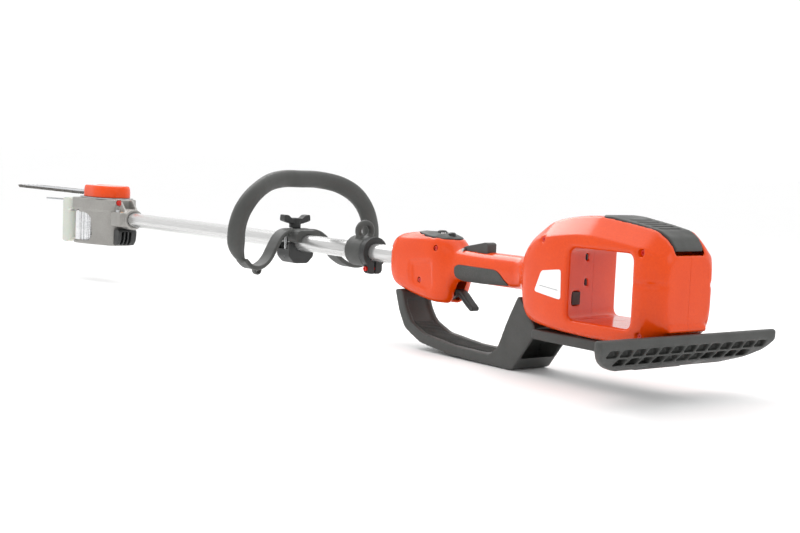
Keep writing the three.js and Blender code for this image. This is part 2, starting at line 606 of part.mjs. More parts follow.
function powerTrigger() {
  const line = smoothLine([[-131, 69], [-124, 72.5], [-112, 76.5], [-103, 73.5], [-92, 65], [-83, 58.5]], 18);
  const blade = slab('xz', strip(line, line.map((p, i) => (i < 8 ? 4.2 : 4.2 - 0.09 * (i - 8)))), -5.6, 5.6);
  const boss = rod('y', 5.2, -5.6, 5.6, TRIGGER_PIVOT.x, TRIGGER_PIVOT.z, 20);
  const arm = box(-130, -124, -4, 4, 72, 88);
  return cut(join(blade, boss, arm), rod('y', 2.3, -10, 10, TRIGGER_PIVOT.x, TRIGGER_PIVOT.z, 14));
}

function triggerSwitch() {
  return join(box(-142, -120, -6.5, 6.5, 97, 112), box(-129, -125, -2, 2, 91, 98));
}

function handGuard() {
  const outer = soften([[-213, 72], [-203, 45], [-190, 24], [-156, 9], [-95, 2], [-19, 0], [19, 0], [54, 45], [54, 56.5],
    [47, 62], [37, 76], [30, 82], [24.5, 88.6], [10, 62], [-8, 24], [-22, 13], [-93, 14.5], [-150, 21.5], [-177, 33],
    [-189, 49], [-198, 72]], 5, 3);
  const body = slab('xz', outer, -31, 31);
  const plan = slab('xy', [[-230, -22], [0, -30], [70, -30.8], [70, 30.8], [0, 30], [-230, 22]], -5, 120);
  const legPocket = slab('xz', soften([[70, 40], [70, 53.5], [42, 53], [26, 42], [2, 18], [5, 12], [20, 9]], 2, 2), -26.5, 26.5);
  const innerRecess = slab('xz', [[-185, 60], [-197, 60], [-192.5, 49], [-180, 30.5], [-151, 18.3], [-93, 11.4], [-40, 10.4],
    [-40, 30], [-110, 40], [-170, 50]], -17, 17);
  const houseCut = loft(HOUSE_ROWS, -0.4);
  const handleCut = loft(HANDLE_ROWS, -0.4);
  return cut(common(body, plan), legPocket, innerRecess, houseCut, handleCut);
}

// ---- battery housing ----------------------------------------------------
const VENT_SIDE = [[143, 183], [143, 188.6], [160, 187.4], [201, 181.6], [226, 177], [238, 170.5], [245.5, 160.5],
  [247, 157], [241, 155.5], [234, 165], [224, 171], [200, 176], [160, 182]];
const VENT_PLAN = [[143, -20], [150, -28], [232, -24], [248, -21], [248, 21], [232, 24], [150, 28], [143, 20]];

function ventCover() {
  const slots = [0, 1, 2, 3, 4].map((i) => box(176 + i * 10, 180 + i * 10, -17, 17, 160, 200));
  return cut(common(slab('xz', soften(VENT_SIDE, 3, 3), -40, 40), slab('xy', soften(VENT_PLAN, 5, 3), 140, 200)), ...slots);
}

// Runs the bay's front wall forward towards the right-hand side.
function slantFront(solid) {
  return solid.warp((v) => {
    if (v[0] < 150) v[0] -= BAY_SLANT * (v[1] + HOUSE_HALF);
  });
}

function batteryHousing(side) {
  const bayWall = slantFront(box(BAY.x0 - 3, BAY.x1 + 3, -80, 80, BAY.z0 - 3, BAY.z1 + 3));
  const bay = slantFront(slab('xz', rect(BAY.x0, BAY.x1, BAY.z0, BAY.z1, 9, 5), -80, 80));
  const room = cut(loft(HOUSE_ROWS, 3), bayWall, box(36, 44, -60, 60, 40, 84), box(245.6, 255, -60, 60, 40, 200));
  const openFront = box(30, 46, -34, 34, 86, 146);
  const ventSeat = common(slab('xz', growPlan(soften(VENT_SIDE, 3, 3), 195, 174, 0.5), -40, 40),
    slab('xy', growPlan(soften(VENT_PLAN, 5, 3), 195, 0, 0.5), 140, 200));
  const ventHole = box(172, 224, -18, 18, 160, 195);
  const bandStep = cut(loft(HOUSE_ROWS, -2), loft(HOUSE_ROWS, 1.2), box(0, 216, -80, 80, 0, 300),
    box(200, 300, -80, 80, 124, 300), box(200, 300, -80, 80, 0, 118));
  const lip = common(box(238, 250.5, -30, 30, 72, 79), halfSpace(side));
  const slotCuts = [box(104, 120, -15, -11, 108, 116), box(104, 120, -15, -11, 136, 144)];
  return cut(join(common(cut(loft(HOUSE_ROWS), room), halfSpace(side)), cut(lip, loft(HOUSE_ROWS, 2))),
    bay, openFront, ventSeat, ventHole, bandStep, ...slotCuts,
    box(106, 124, -38.4, -25.6, 87.6, 102.4));
}

function batteryConnector() {
  return join(box(92, 109.2, -21, -6, 104.2, 148), box(108, 113.8, -14, -12, 109, 115), box(108, 113.8, -14, -12, 137, 143));
}

function batteryLatch() {
  return join(box(104, 118.4, -38, -26, 88, 102), box(101, 105, -39, -25, 86.5, 103.5));
}

function controlBoard() {
  return join(box(62, 64, -32, 32, 84, 150), box(63.5, 72, -20, -6, 96, 128), box(63.5, 76, 6, 22, 92, 120),
    rod('x', 6, 63, 84, 0, 140, 16));
}

function supportFoot() {
  const keel = slab('xz', soften([[54.6, 42], [150, 41], [176, 36], [187, 29], [212, 29], [222, 36], [230, 44],
    [222, 53.4], [54.6, 53.4]], 3, 2), -36, 36);
  const keelSeat = cut(keel, loft(HOUSE_ROWS, -0.4), box(62, 168, -31, 31, 30, 49));
  const wing = slab('xz', soften([[206, 38], [212, 33], [226, 33], [241, 40], [250.5, 49], [258.5, 60],
    [258, 70], [252, 71.5], [244, 64], [214, 47], [206, 44]], 2.4, 2), -FOOT_HALF, FOOT_HALF);
  const plan = slab('xy', soften([[204, -60], [240, -124], [250, -FOOT_HALF], [258.5, -FOOT_HALF], [258.5, FOOT_HALF],
    [250, FOOT_HALF], [240, 124], [204, 60]], 12, 5), 20, 90);
  const front = slab('yz', soften([[-FOOT_HALF, 75], [-FOOT_HALF, 61], [-131, 49], [-110, 40], [-60, 28], [60, 28],
    [110, 40], [131, 49], [FOOT_HALF, 61], [FOOT_HALF, 75]], 8, 3), 190, 270);
  const cells = [];
  for (let i = -6; i <= 6; i++) {
    const y = i * 19.4;
    cells.push(box(247.5, 270, y - 8.2, y + 8.2, 52.6, 60));
    if (Math.abs(i) < 6) cells.push(box(Math.abs(i) < 2 ? 239 : 235, 270, y - 8.2, y + 8.2, 42.5, 50));
  }
  const body = join(cut(common(common(wing, plan), front), loft(HOUSE_ROWS, -0.4)), keelSeat);
  return cut(body, ...cells);
}

// ---- assembly -----------------------------------------------------------
add('head_housing', headHousing(), CAST);
add('bar_plate', barPlate(), STEEL);
add('guide_bar', guideBar(), STEEL);
add('saw_chain', sawChain(), STEEL);
add('nose_sprocket', noseSprocket(), STEEL);
add('drive_sprocket', driveSprocket(), STEEL);
add('output_gear', outputGear(), STEEL);
add('output_bearing', bearing(SPROCKET.x, 0, 8, 5.3, 123, 127.8), STEEL);
add('motor_shaft', motorShaft(), STEEL);
add('motor_rotor', motorRotor(), STEEL);
add('motor_stator', motorStator(), COPPER);
add('motor_housing', motorHousing(), ALU);
add('upper_motor_bearing', bearing(MOTOR.x, MOTOR.y, 8, 4.3, 122, 127.8), STEEL);
add('lower_motor_bearing', bearing(MOTOR.x, MOTOR.y, 8, 4.3, 70.3, 74.8), STEEL);
add('bar_stud', rod('z', 4, 124.4, 165, STUD_X, 0, 16), STEEL);
add('bar_nut', barNut(), STEEL);
add('bar_adjuster_block', adjusterBlock(), STEEL);
add('chain_tension_screw', tensionScrew(), RED);
add('sprocket_cover', sprocketCover(), ORANGE);
add('oil_tank', oilTank(), TANK_WHITE);
add('oil_tank_cap', tankCap(), BLACK);
add('oil_pump', oilPump(), BLACK);
add('oil_pump_gear', pumpGear(), STEEL);
add('limb_hook', limbHook(), STEEL);
add('head_rear_cover', headRearCover(), BLACK);
add('head_clamp_screw', join(rod('z', 2.6, TUBE_Z - 11, TUBE_Z + 13, -984, -20.5, 14),
  rod('z', 4.4, TUBE_Z + 12.3, TUBE_Z + 16, -984, -20.5, 18)), STEEL);
add('shaft_tube', shaftTube(), ALU);
add('motor_cable', rod('x', 4, -990, -150, 0, TUBE_Z, 12), BLACK);
add('loop_handle', loopHandle(), DARK);
add('loop_clamp', loopClamp(), DARK);
add('left_clamp_bolt', clampBolt(-17), STEEL);
add('right_clamp_bolt', clampBolt(17), STEEL);
add('clamp_knob', clampKnob(), BLACK);
add('stop_collar', stopCollar(), BLACK);
add('harness_ring', harnessRing(), DARK);
add('collar_screw', collarScrew(), RED);
add('tube_gasket', cut(rod('x', 17, -228.6, -225.3, 0, TUBE_Z, 36), rod('x', TUBE_R + GAP, -250, -220, 0, TUBE_Z, 36)), BLACK);
add('left_handle_shell', handleShell(-1), ORANGE);
add('right_handle_shell', handleShell(1), ORANGE);
add('left_grip_pad', gripPad(-1), RUBBER);
add('right_grip_pad', gripPad(1), RUBBER);
add('keypad_panel', keypadPanel(), DARK);
add('power_button', join(rod('z', 6, 140, 151, -150, 0, 24), rod('z', 7.4, 137.5, 140.6, -150, 0, 24)), BLACK);
add('boost_button', join(rod('z', 4.5, 140, 149.6, -131, 0, 20), rod('z', 6, 137.5, 140.6, -131, 0, 20)), BLACK);
add('lockout_lever', lockoutLever(), DARK);
add('lockout_pin', rod('y', 2, -12, 12, -97, 130.5, 14), STEEL);
add('power_trigger', powerTrigger(), BLACK);
add('trigger_pin', rod('y', 2, -11.5, 11.5, TRIGGER_PIVOT.x, TRIGGER_PIVOT.z, 14), STEEL);
add('trigger_switch', triggerSwitch(), BLACK);
add('hand_guard', handGuard(), DARK);
add('left_battery_housing', batteryHousing(-1), ORANGE);
add('right_battery_housing', batteryHousing(1), ORANGE);
add('vent_cover', ventCover(), DARK);
add('battery_connector', batteryConnector(), BLACK);
add('battery_latch', batteryLatch(), BLACK);
add('control_board', controlBoard(), GREEN);
add('support_foot', supportFoot(), DARK);

export default group;
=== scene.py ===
"""Battery pole saw: the finished look of every piece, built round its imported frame.

The saw lies level: shaft along X, cutting head towards -X, battery end towards +X, +Z up.
Shapes are worked out in millimetres and placed in metres when a piece is finished.
"""

import logging
import math
from collections.abc import Callable
from dataclasses import dataclass, field
from enum import Enum

import bmesh
import bpy
from mathutils import Matrix, Vector


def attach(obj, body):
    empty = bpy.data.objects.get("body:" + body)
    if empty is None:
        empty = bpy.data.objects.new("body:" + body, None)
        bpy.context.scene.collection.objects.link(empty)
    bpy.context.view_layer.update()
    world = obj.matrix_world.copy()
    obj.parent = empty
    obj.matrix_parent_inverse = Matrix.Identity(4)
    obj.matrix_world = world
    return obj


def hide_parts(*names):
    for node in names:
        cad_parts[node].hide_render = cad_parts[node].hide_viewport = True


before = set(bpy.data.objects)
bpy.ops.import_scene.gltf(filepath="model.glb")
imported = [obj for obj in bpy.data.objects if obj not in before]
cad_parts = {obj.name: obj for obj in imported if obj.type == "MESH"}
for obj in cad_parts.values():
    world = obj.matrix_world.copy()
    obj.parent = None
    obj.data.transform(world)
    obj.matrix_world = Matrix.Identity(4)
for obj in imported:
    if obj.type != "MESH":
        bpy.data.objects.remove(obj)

LOG = logging.getLogger("pole_saw")
MM = 0.001
SHAFT_Z = 112.0
SHAFT_R = 12.0
FLAT = 1e-6
MERGE_M = 0.00001
FRAME_BODY = "saw_frame"


class Axis(Enum):
    """Direction that a round or flat shape runs along."""

    X = 0
    Y = 1
    Z = 2


class Grain(Enum):
    """How a surface was made, which decides its fine relief."""

    POLISHED = "polished mould"
    SPARKED = "spark-eroded mould"
    CAST = "die cast"
    BRUSHED = "brushed or drawn along the shaft"
    TURNED = "turned about the axis"
    DOTTED = "soft dots"
    TRACED = "etched tracks"


# ---------------------------------------------------------------- finishes


def linear(colour: str) -> tuple[float, float, float, float]:
    """Turn an sRGB hex colour into linear light.

    Args:
        colour: Six hex digits, with or without a leading hash.

    Returns:
        Red, green, blue and alpha for a shader socket.
    """
    digits = colour.lstrip("#")
    parts = [int(digits[i : i + 2], 16) / 255 for i in (0, 2, 4)]
    light = [c / 12.92 if c <= 0.04045 else ((c + 0.055) / 1.055) ** 2.4 for c in parts]
    return (*light, 1.0)


def put(tree: bpy.types.NodeTree, kind: str, links: dict | None = None, **settings) -> bpy.types.Node:
    """Add one shader node.

    Args:
        tree: Node tree that takes the node.
        kind: Blender's name for the node type.
        links: Socket name or index mapped to a value, or to the socket that feeds it.
        **settings: Node properties to set.

    Returns:
        The new node.
    """
    node = tree.nodes.new(kind)
    for name, value in settings.items():
        setattr(node, name, value)
    for name, value in (links or {}).items():
        if isinstance(value, bpy.types.NodeSocket):
            tree.links.new(value, node.inputs[name])
        else:
            node.inputs[name].default_value = value
    return node


@dataclass(frozen=True)
class Finish:
    """One real finish, with its colour, gloss and fine relief.

    Attributes:
        name: Common name of the finish.
        slot: The record's material slot; not used.
        colour: sRGB hex of the clean surface.
        shade: sRGB hex of its darker areas.
        roughness: Middle value of the micro roughness.
        metallic: One for bare metal, zero for the rest.
        coat: Weight of the clear gloss layer.
        grain: How the surface was made.
        grain_mm: Size of one grain in millimetres.
        depth_mm: Height of the grain in millimetres.
        mottle_mm: Size of the slow colour variation in millimetres.
        wear: How much edges are rubbed lighter.
        subsurface: How much light travels inside, for milky plastic.
        reflectance: Mirror reflection of a non-metal; a half is four percent.
    """

    name: str
    slot: str
    colour: str
    shade: str
    roughness: float
    metallic: float = 0.0
    coat: float = 0.0
    grain: Grain = Grain.SPARKED
    grain_mm: float = 0.8
    depth_mm: float = 0.03
    mottle_mm: float = 45.0
    wear: float = 0.0
    subsurface: float = 0.0
    reflectance: float = 0.5

    def material(self) -> bpy.types.Material:
        """Build the finish's node material, or return it if it exists."""
        known = bpy.data.materials.get(self.name)
        if known:
            return known
        made = bpy.data.materials.new(self.name)
        made.use_nodes = True
        tree = made.node_tree
        tree.nodes.clear()
        where = put(tree, "ShaderNodeTexCoord").outputs["Object"]
        shader = put(
            tree,
            "ShaderNodeBsdfPrincipled",
            {
                "Metallic": self.metallic,
                "Coat Weight": self.coat,
                "Coat Roughness": 0.04,
                "Specular IOR Level": self.reflectance,
                "Subsurface Weight": self.subsurface,
                "Subsurface Scale": 0.004,
            },
        )
        relief, mask = self._relief(tree, where)
        drawn = put(tree, "ShaderNodeMapping", {0: where, "Scale": self._stretch()}).outputs[0]
        tree.links.new(self._tint(tree, drawn, mask), shader.inputs["Base Color"])
        tree.links.new(self._gloss(tree, drawn, mask), shader.inputs["Roughness"])
        tree.links.new(relief, shader.inputs["Normal"])
        put(tree, "ShaderNodeOutputMaterial", {"Surface": shader.outputs[0]})
        made.diffuse_color = linear(self.colour)
        return made

    def _stretch(self) -> tuple[float, float, float]:
        """How the grain is drawn out along each axis."""
        if self.grain is Grain.BRUSHED:
            return (0.04, 1.0, 1.0)
        if self.grain is Grain.TURNED:
            return (1.0, 1.0, 6.0)
        return (1.0, 1.0, 1.0)

    def _relief(self, tree: bpy.types.NodeTree, where: bpy.types.NodeSocket) -> tuple:
        """Make the bump of the grain.

        Args:
            tree: Material's node tree.
            where: Object coordinates in metres.

        Returns:
            The normal socket and the grain's height socket.
        """
        placed = put(tree, "ShaderNodeMapping", {0: where, "Scale": self._stretch()}).outputs[0]
        scale = 1.0 / (self.grain_mm * MM)
        if self.grain is Grain.DOTTED:
            cells = put(tree, "ShaderNodeTexVoronoi", {"Vector": placed, "Scale": scale})
            ramp = put(tree, "ShaderNodeMapRange",
                       {0: cells.outputs["Distance"], 1: 0.15, 2: 0.45, 3: 1.0, 4: 0.0})
            height = ramp.outputs[0]
        elif self.grain is Grain.TRACED:
            cells = put(tree, "ShaderNodeTexBrick", {"Vector": placed, "Scale": scale, "Mortar Size": 0.06})
            height = cells.outputs["Fac"]
        else:
            detail = 4.0 if self.grain is Grain.CAST else 2.0
            noise = put(tree, "ShaderNodeTexNoise", {"Vector": placed, "Scale": scale, "Detail": detail})
            height = noise.outputs["Fac"]
        bump = put(tree, "ShaderNodeBump",
                   {"Height": height, "Distance": self.depth_mm * MM, "Strength": 1.0})
        return bump.outputs[0], height

    def _tint(self, tree: bpy.types.NodeTree, where: bpy.types.NodeSocket,
              mask: bpy.types.NodeSocket) -> bpy.types.NodeSocket:
        """Mix the clean colour with its shade, by slow mottling, fine grain and edge wear.

        Args:
            tree: Node tree of the material.
            where: Socket with the place on the surface.
            mask: Socket with the grain's height.

        Returns:
            Socket with the colour.
        """
        slow = put(tree, "ShaderNodeTexNoise",
                   {"Vector": where, "Scale": 1000 / self.mottle_mm, "Detail": 3.0})
        both = put(tree, "ShaderNodeMath", {0: slow.outputs["Fac"], 1: mask}, operation="MULTIPLY")
        share = put(tree, "ShaderNodeMapRange", {0: both.outputs[0], 1: 0.1, 2: 0.5, 3: 0.0, 4: 1.0})
        mix = put(tree, "ShaderNodeMix", {0: share.outputs[0]}, data_type="RGBA")
        mix.inputs[6].default_value = linear(self.shade)
        mix.inputs[7].default_value = linear(self.colour)
        if not self.wear:
            return mix.outputs[2]
        edges = put(tree, "ShaderNodeNewGeometry").outputs["Pointiness"]
        rubbed = put(tree, "ShaderNodeMapRange", {0: edges, 1: 0.53, 2: 0.6, 3: 0.0, 4: self.wear})
        lift = put(tree, "ShaderNodeMix", {0: rubbed.outputs[0], 6: mix.outputs[2]}, data_type="RGBA")
        lift.inputs[7].default_value = linear("#d8d6d0")
        return lift.outputs[2]

    def _gloss(self, tree: bpy.types.NodeTree, where: bpy.types.NodeSocket,
               mask: bpy.types.NodeSocket) -> bpy.types.NodeSocket:
        """Vary the roughness a little, as handling and mould marks do.

        Args:
            tree: Node tree of the material.
            where: Socket with the place on the surface.
            mask: Socket with the grain's height.

        Returns:
            Socket with the roughness.
        """
        smear = put(tree, "ShaderNodeTexNoise", {"Vector": where, "Scale": 1000 / 22.0, "Detail": 4.0})
        low, high = self.roughness * 0.8, min(1.0, self.roughness * 1.25)
        first = put(tree, "ShaderNodeMapRange", {0: smear.outputs["Fac"], 1: 0.3, 2: 0.7, 3: low, 4: high})
        fine = put(tree, "ShaderNodeMapRange", {0: mask, 1: 0.2, 2: 0.8, 3: 0.95, 4: 1.06})
        return put(tree, "ShaderNodeMath", {0: first.outputs[0], 1: fine.outputs[0]},
                   operation="MULTIPLY").outputs[0]


# Gloss ABS from a polished mould: saturated colour, clear wide highlights, a trace of orange peel.
ORANGE_ABS = Finish("Gloss moulded ABS, orange", "orange_plastic", "#e64a00", "#db4200", 0.16, coat=0.1,
                    grain=Grain.POLISHED, grain_mm=2.2, depth_mm=0.004, reflectance=0.3)
# Glass-filled nylon from a spark-eroded mould: flat sheen broken up by a fine leathery grain.
DARK_NYLON = Finish("Glass-filled nylon, dark grey", "dark_plastic", "#484947", "#3a3b39", 0.52,
                    grain=Grain.SPARKED, grain_mm=1.1, depth_mm=0.05, wear=0.06)
# The same nylon, dyed black: the grain is only seen in the highlights.
BLACK_NYLON = Finish("Glass-filled nylon, black", "black_plastic", "#2b2c2c", "#1f2020", 0.45,
                     grain=Grain.SPARKED, grain_mm=1.0, depth_mm=0.04, wear=0.04)
# Overmoulded thermoplastic rubber: dull and soft, with round dots drawn coarse enough to see.
GRIP_RUBBER = Finish("Overmoulded grip rubber, grey", "grip_rubber", "#525351", "#454644", 0.72,
                     grain=Grain.DOTTED, grain_mm=1.8, depth_mm=0.12)
# High-density polyethylene: milky, waxy, light passes a few millimetres into it.
TANK_HDPE = Finish("Natural polyethylene", "tank_plastic", "#c9ccc3", "#bcc0b6", 0.38, subsurface=0.35,
                   grain=Grain.POLISHED, grain_mm=3.0, depth_mm=0.02)
# Die-cast light alloy after tumbling: grey, slightly sparkling, with a pebbled skin.
DIE_CAST = Finish("Tumbled die-cast alloy", "cast_grey", "#a6a4a0", "#8f8d89", 0.46, metallic=0.55,
                  grain=Grain.CAST, grain_mm=1.6, depth_mm=0.04, wear=0.15)
# Clear anodised drawn tube: pale satin metal with fine lines along its length.
ANODISED = Finish("Clear anodised drawn tube", "aluminium", "#d6d6d5", "#bebebd", 0.22, metallic=0.7,
                  grain=Grain.BRUSHED, grain_mm=0.9, depth_mm=0.004)
# Machined alloy of the motor can: brighter than the casting, with turning lines round it.
CAN_ALLOY = Finish("Extruded motor can alloy", "aluminium", "#f2f2f2", "#d8d9db", 0.24, metallic=1.0,
                   grain=Grain.TURNED, grain_mm=1.2, depth_mm=0.01)
# Hardened plate, surface ground along its length.
GROUND_STEEL = Finish("Ground bar steel", "steel", "#b9bbbe", "#8f9296", 0.3, metallic=1.0,
                      grain=Grain.BRUSHED, grain_mm=0.8, depth_mm=0.006, wear=0.3)
# Oiled, browned steel of chain links: dark, with bright rubbed edges.
CHAIN_STEEL = Finish("Oiled chain steel", "steel", "#30261e", "#15100c", 0.36, metallic=1.0,
                     grain=Grain.CAST, grain_mm=1.4, depth_mm=0.02, wear=0.25)
# Zinc-plated screws, nuts and gears.
ZINC = Finish("Zinc-plated steel", "steel", "#c6c8ca", "#a5a8ab", 0.28, metallic=1.0,
              grain=Grain.TURNED, grain_mm=0.7, depth_mm=0.006, wear=0.2)
# Enamelled copper in the motor.
WINDING = Finish("Enamelled copper winding", "copper", "#b8703d", "#7c4524", 0.32, metallic=1.0,
                 grain=Grain.TURNED, grain_mm=0.9, depth_mm=0.12)
# Solder-masked circuit board with its tracks showing through.
BOARD = Finish("Solder-masked board", "board", "#1f6238", "#2f8a50", 0.3,
               grain=Grain.TRACED, grain_mm=4.0, depth_mm=0.04)
# Dyed nylon of the coloured screw heads.
RED_CAP = Finish("Dyed nylon, red", "red_plastic", "#e0240f", "#c91c0a", 0.35, coat=0.2,
                 grain=Grain.POLISHED, grain_mm=1.5, depth_mm=0.01)
# Printed film with a satin overlay.
LABEL_FILM = Finish("Satin label film", "tank_plastic", "#fbfbfa", "#f3f3f2", 0.3,
                    grain=Grain.POLISHED, grain_mm=1.5, depth_mm=0.004)
# Line printed on the label film.
LABEL_INK = Finish("Grey label ink", "dark_plastic", "#8d9196", "#83878c", 0.4,
                   grain=Grain.POLISHED, grain_mm=1.5, depth_mm=0.002)
# Amber moulded seal at the head's clamp, with the same fine grain as the nylon.
SEAL = Finish("Moulded seal, amber", "orange_plastic", "#e89a1c", "#d98c14", 0.4, grain_mm=1.0)


# ------------------------------------------------------------------ shapes

Point = tuple[float, float]


def softened(points: list[Point], radius: float, steps: int = 5) -> list[Point]:
    """Round the corners of a closed outline.

    Args:
        points: Corners in order.
        radius: Largest distance that a rounding starts from its corner.
        steps: Parts that each rounding is divided into.

    Returns:
        The rounded outline.
    """
    out = []
    for i, here in enumerate(points):
        p, q, r = Vector(points[i - 1]), Vector(here), Vector(points[(i + 1) % len(points)])
        reach = min(radius, (p - q).length * 0.45, (r - q).length * 0.45)
        start, end = q + (p - q).normalized() * reach, q + (r - q).normalized() * reach
        for k in range(steps + 1):
            s = k / steps
            out.append(tuple((1 - s) ** 2 * start + 2 * s * (1 - s) * q + s * s * end))
    return out


def rectangle(u: Point, v: Point, radius: float, steps: int = 6) -> list[Point]:
    """Outline of a rectangle with rounded corners."""
    return softened([(u[0], v[0]), (u[1], v[0]), (u[1], v[1]), (u[0], v[1])], radius, steps)


def spline(points: list[tuple], count: int) -> list[Vector]:
    """Smooth curve through points of any dimension.

    Args:
        points: Points to pass through.
        count: Points to return, evenly shared between the spans.

    Returns:
        Points on a Catmull-Rom curve.
    """
    knots = [Vector(p) for p in points]
    padded = [knots[0] * 2 - knots[1], *knots, knots[-1] * 2 - knots[-2]]
    out = []
    for k in range(count):
        t = k / (count - 1) * (len(knots) - 1)
        i = min(int(t), len(knots) - 2)
        s = t - i
        a, b, c, d = padded[i : i + 4]
        out.append(
            (b * 2 + (c - a) * s + (a * 2 - b * 5 + c * 4 - d) * s**2 + (b * 3 - a - c * 3 + d) * s**3) / 2
        )
    return out


def ribbon(line: list[Vector], half: float | list[float]) -> list[Point]:
    """Outline of a strip of given half width along an open line.

    Args:
        line: Points along the middle.
        half: Half width, one number or one for each point.

    Returns:
        The outline's corners.
    """
    left, right = [], []
    for i, here in enumerate(line):
        ahead = (line[min(i + 1, len(line) - 1)] - line[max(i - 1, 0)]).normalized()
        side = Vector((-ahead.y, ahead.x)) * (half[i] if isinstance(half, list) else half)
        left.append(tuple(here + side))
        right.append(tuple(here - side))
    return right + left[::-1]


class Solid:
    """A closed shape in millimetres that can be joined, cut, rounded and finished."""

    def __init__(self, mesh: bpy.types.Mesh) -> None:
        """Hold a mesh."""
        self.mesh = mesh

    @classmethod
    def _from(cls, bm: bmesh.types.BMesh) -> "Solid":
        """Close a bmesh into a solid with its faces pointing out.

        Args:
            bm: Mesh being built, freed here.

        Returns:
            The solid.
        """
        bmesh.ops.recalc_face_normals(bm, faces=bm.faces)
        mesh = bpy.data.meshes.new("solid")
        bm.to_mesh(mesh)
        bm.free()
        return cls(mesh)

    @classmethod
    def rod(cls, axis: Axis, radius: float, span: Point, centre: Point, segments: int = 64,
            end_radius: float | None = None) -> "Solid":
        """Make a cylinder or cone.

        Args:
            axis: Axis that it runs along.
            radius: Radius at the low end.
            span: Lowest and highest coordinate along the axis.
            centre: Its centre on the two other axes, in XYZ order.
            segments: Sides round it.
            end_radius: Radius at the high end, if different.

        Returns:
            The solid.
        """
        bm = bmesh.new()
        turn = {Axis.X: Matrix.Rotation(math.pi / 2, 4, "Y"), Axis.Y: Matrix.Rotation(-math.pi / 2, 4, "X"),
                Axis.Z: Matrix.Identity(4)}[axis]
        middle = list(centre)
        middle.insert(axis.value, (span[0] + span[1]) / 2)
        bmesh.ops.create_cone(bm, cap_ends=True, segments=segments, radius1=radius,
                              radius2=radius if end_radius is None else end_radius, depth=span[1] - span[0],
                              matrix=Matrix.Translation(middle) @ turn)
        return cls._from(bm)

    @classmethod
    def prism(cls, normal: Axis, outline: list[Point], span: Point, edge: float = 0.0) -> "Solid":
        """Push an outline along an axis.

        Args:
            normal: Axis it is pushed along; the outline is on the two others, in XYZ order.
            outline: Corners in order.
            span: Lowest and highest coordinate along the axis.
            edge: Width of a rounding on both rims, or zero.

        Returns:
            The solid.
        """
        bm = bmesh.new()
        corners = []
        for u, v in outline:
            at = [u, v]
            at.insert(normal.value, span[0])
            corners.append(bm.verts.new(at))
        face = bm.faces.new(corners)
        grown = bmesh.ops.extrude_face_region(bm, geom=[face])["geom"]
        push = [0.0, 0.0, 0.0]
        push[normal.value] = span[1] - span[0]
        bmesh.ops.translate(bm, verts=[g for g in grown if isinstance(g, bmesh.types.BMVert)], vec=push)
        if edge:
            bm.normal_update()
            rims = [e for e in bm.edges
                    if abs(e.verts[0].co[normal.value] - e.verts[1].co[normal.value]) < FLAT]
            bmesh.ops.bevel(bm, geom=rims, offset=edge, affect="EDGES", segments=3, profile=0.5, material=-1,
                            clamp_overlap=True)
        return cls._from(bm)

    @classmethod
    def block(cls, x: Point, y: Point, z: Point, edge: float = 0.0) -> "Solid":
        """Make a box between two corners, with rounded edges if asked.

        Args:
            x: Lowest and highest X.
            y: Lowest and highest Y.
            z: Lowest and highest Z.
            edge: Radius of its edges, none if zero.

        Returns:
            The box.
        """
        bm = bmesh.new()
        size = Matrix.Diagonal((x[1] - x[0], y[1] - y[0], z[1] - z[0], 1))
        middle = Matrix.Translation(((x[0] + x[1]) / 2, (y[0] + y[1]) / 2, (z[0] + z[1]) / 2))
        bmesh.ops.create_cube(bm, size=1, matrix=middle @ size)
        if edge:
            bmesh.ops.bevel(bm, geom=bm.edges[:], offset=edge, affect="EDGES", segments=3, profile=0.5,
                            material=-1)
        return cls._from(bm)

    @classmethod
    def skin(cls, rings: list[list[Vector]]) -> "Solid":
        """Bridge closed rings of equal count into one capped body.

        Args:
            rings: Points of each ring, in matching order.

        Returns:
            The solid.
        """
        bm = bmesh.new()
        loops = []
        for points in rings:
            made = bmesh.ops.create_circle(bm, cap_ends=False, segments=len(points), radius=1.0)["verts"]
            for vert, point in zip(made, points):
                vert.co = point
            loops.append(list({e for v in made for e in v.link_edges}))
        for first, second in zip(loops, loops[1:]):
            bmesh.ops.bridge_loops(bm, edges=first + second)
        for rim in (loops[0], loops[-1]):
            bmesh.ops.edgeloop_fill(bm, edges=rim)
        return cls._from(bm)

    @classmethod
    def sweep(cls, path: list[Vector], radius: float, segments: int = 32,
              taper: tuple[float, int] = (1.0, 1)) -> "Solid":
        """Make a round bar along a path whose frame turns as little as it can.

        Args:
            path: Points of its centre line.
            radius: Radius of the bar.
            segments: Sides round it.
            taper: Share of the radius left at both ends, and how many points the taper takes.

        Returns:
            The solid.
        """
        share, length = taper
        side = (path[1] - path[0]).orthogonal().normalized()
        rings = []
        for i, here in enumerate(path):
            ahead = (path[min(i + 1, len(path) - 1)] - path[max(i - 1, 0)]).normalized()
            side = (side - ahead * side.dot(ahead)).normalized()
            other = ahead.cross(side)
            turns = [2 * math.pi * k / segments for k in range(segments)]
            full = min(1.0, min(i, len(path) - 1 - i) / length)
            r = radius * (share + (1 - share) * math.sin(full * math.pi / 2))
            rings.append([here + (side * math.cos(t) + other * math.sin(t)) * r for t in turns])
        return cls.skin(rings)

    @classmethod
    def of_node(cls, node: str) -> "Solid":
        """Copy a frame node, with its loose triangles merged.

        Args:
            node: Name of the node.

        Returns:
            Its shape in millimetres.
        """
        bm = bmesh.new()
        bm.from_mesh(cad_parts[node].data)
        bmesh.ops.scale(bm, vec=(1 / MM,) * 3, verts=bm.verts)
        bmesh.ops.remove_doubles(bm, verts=bm.verts, dist=0.002)
        return cls._from(bm)

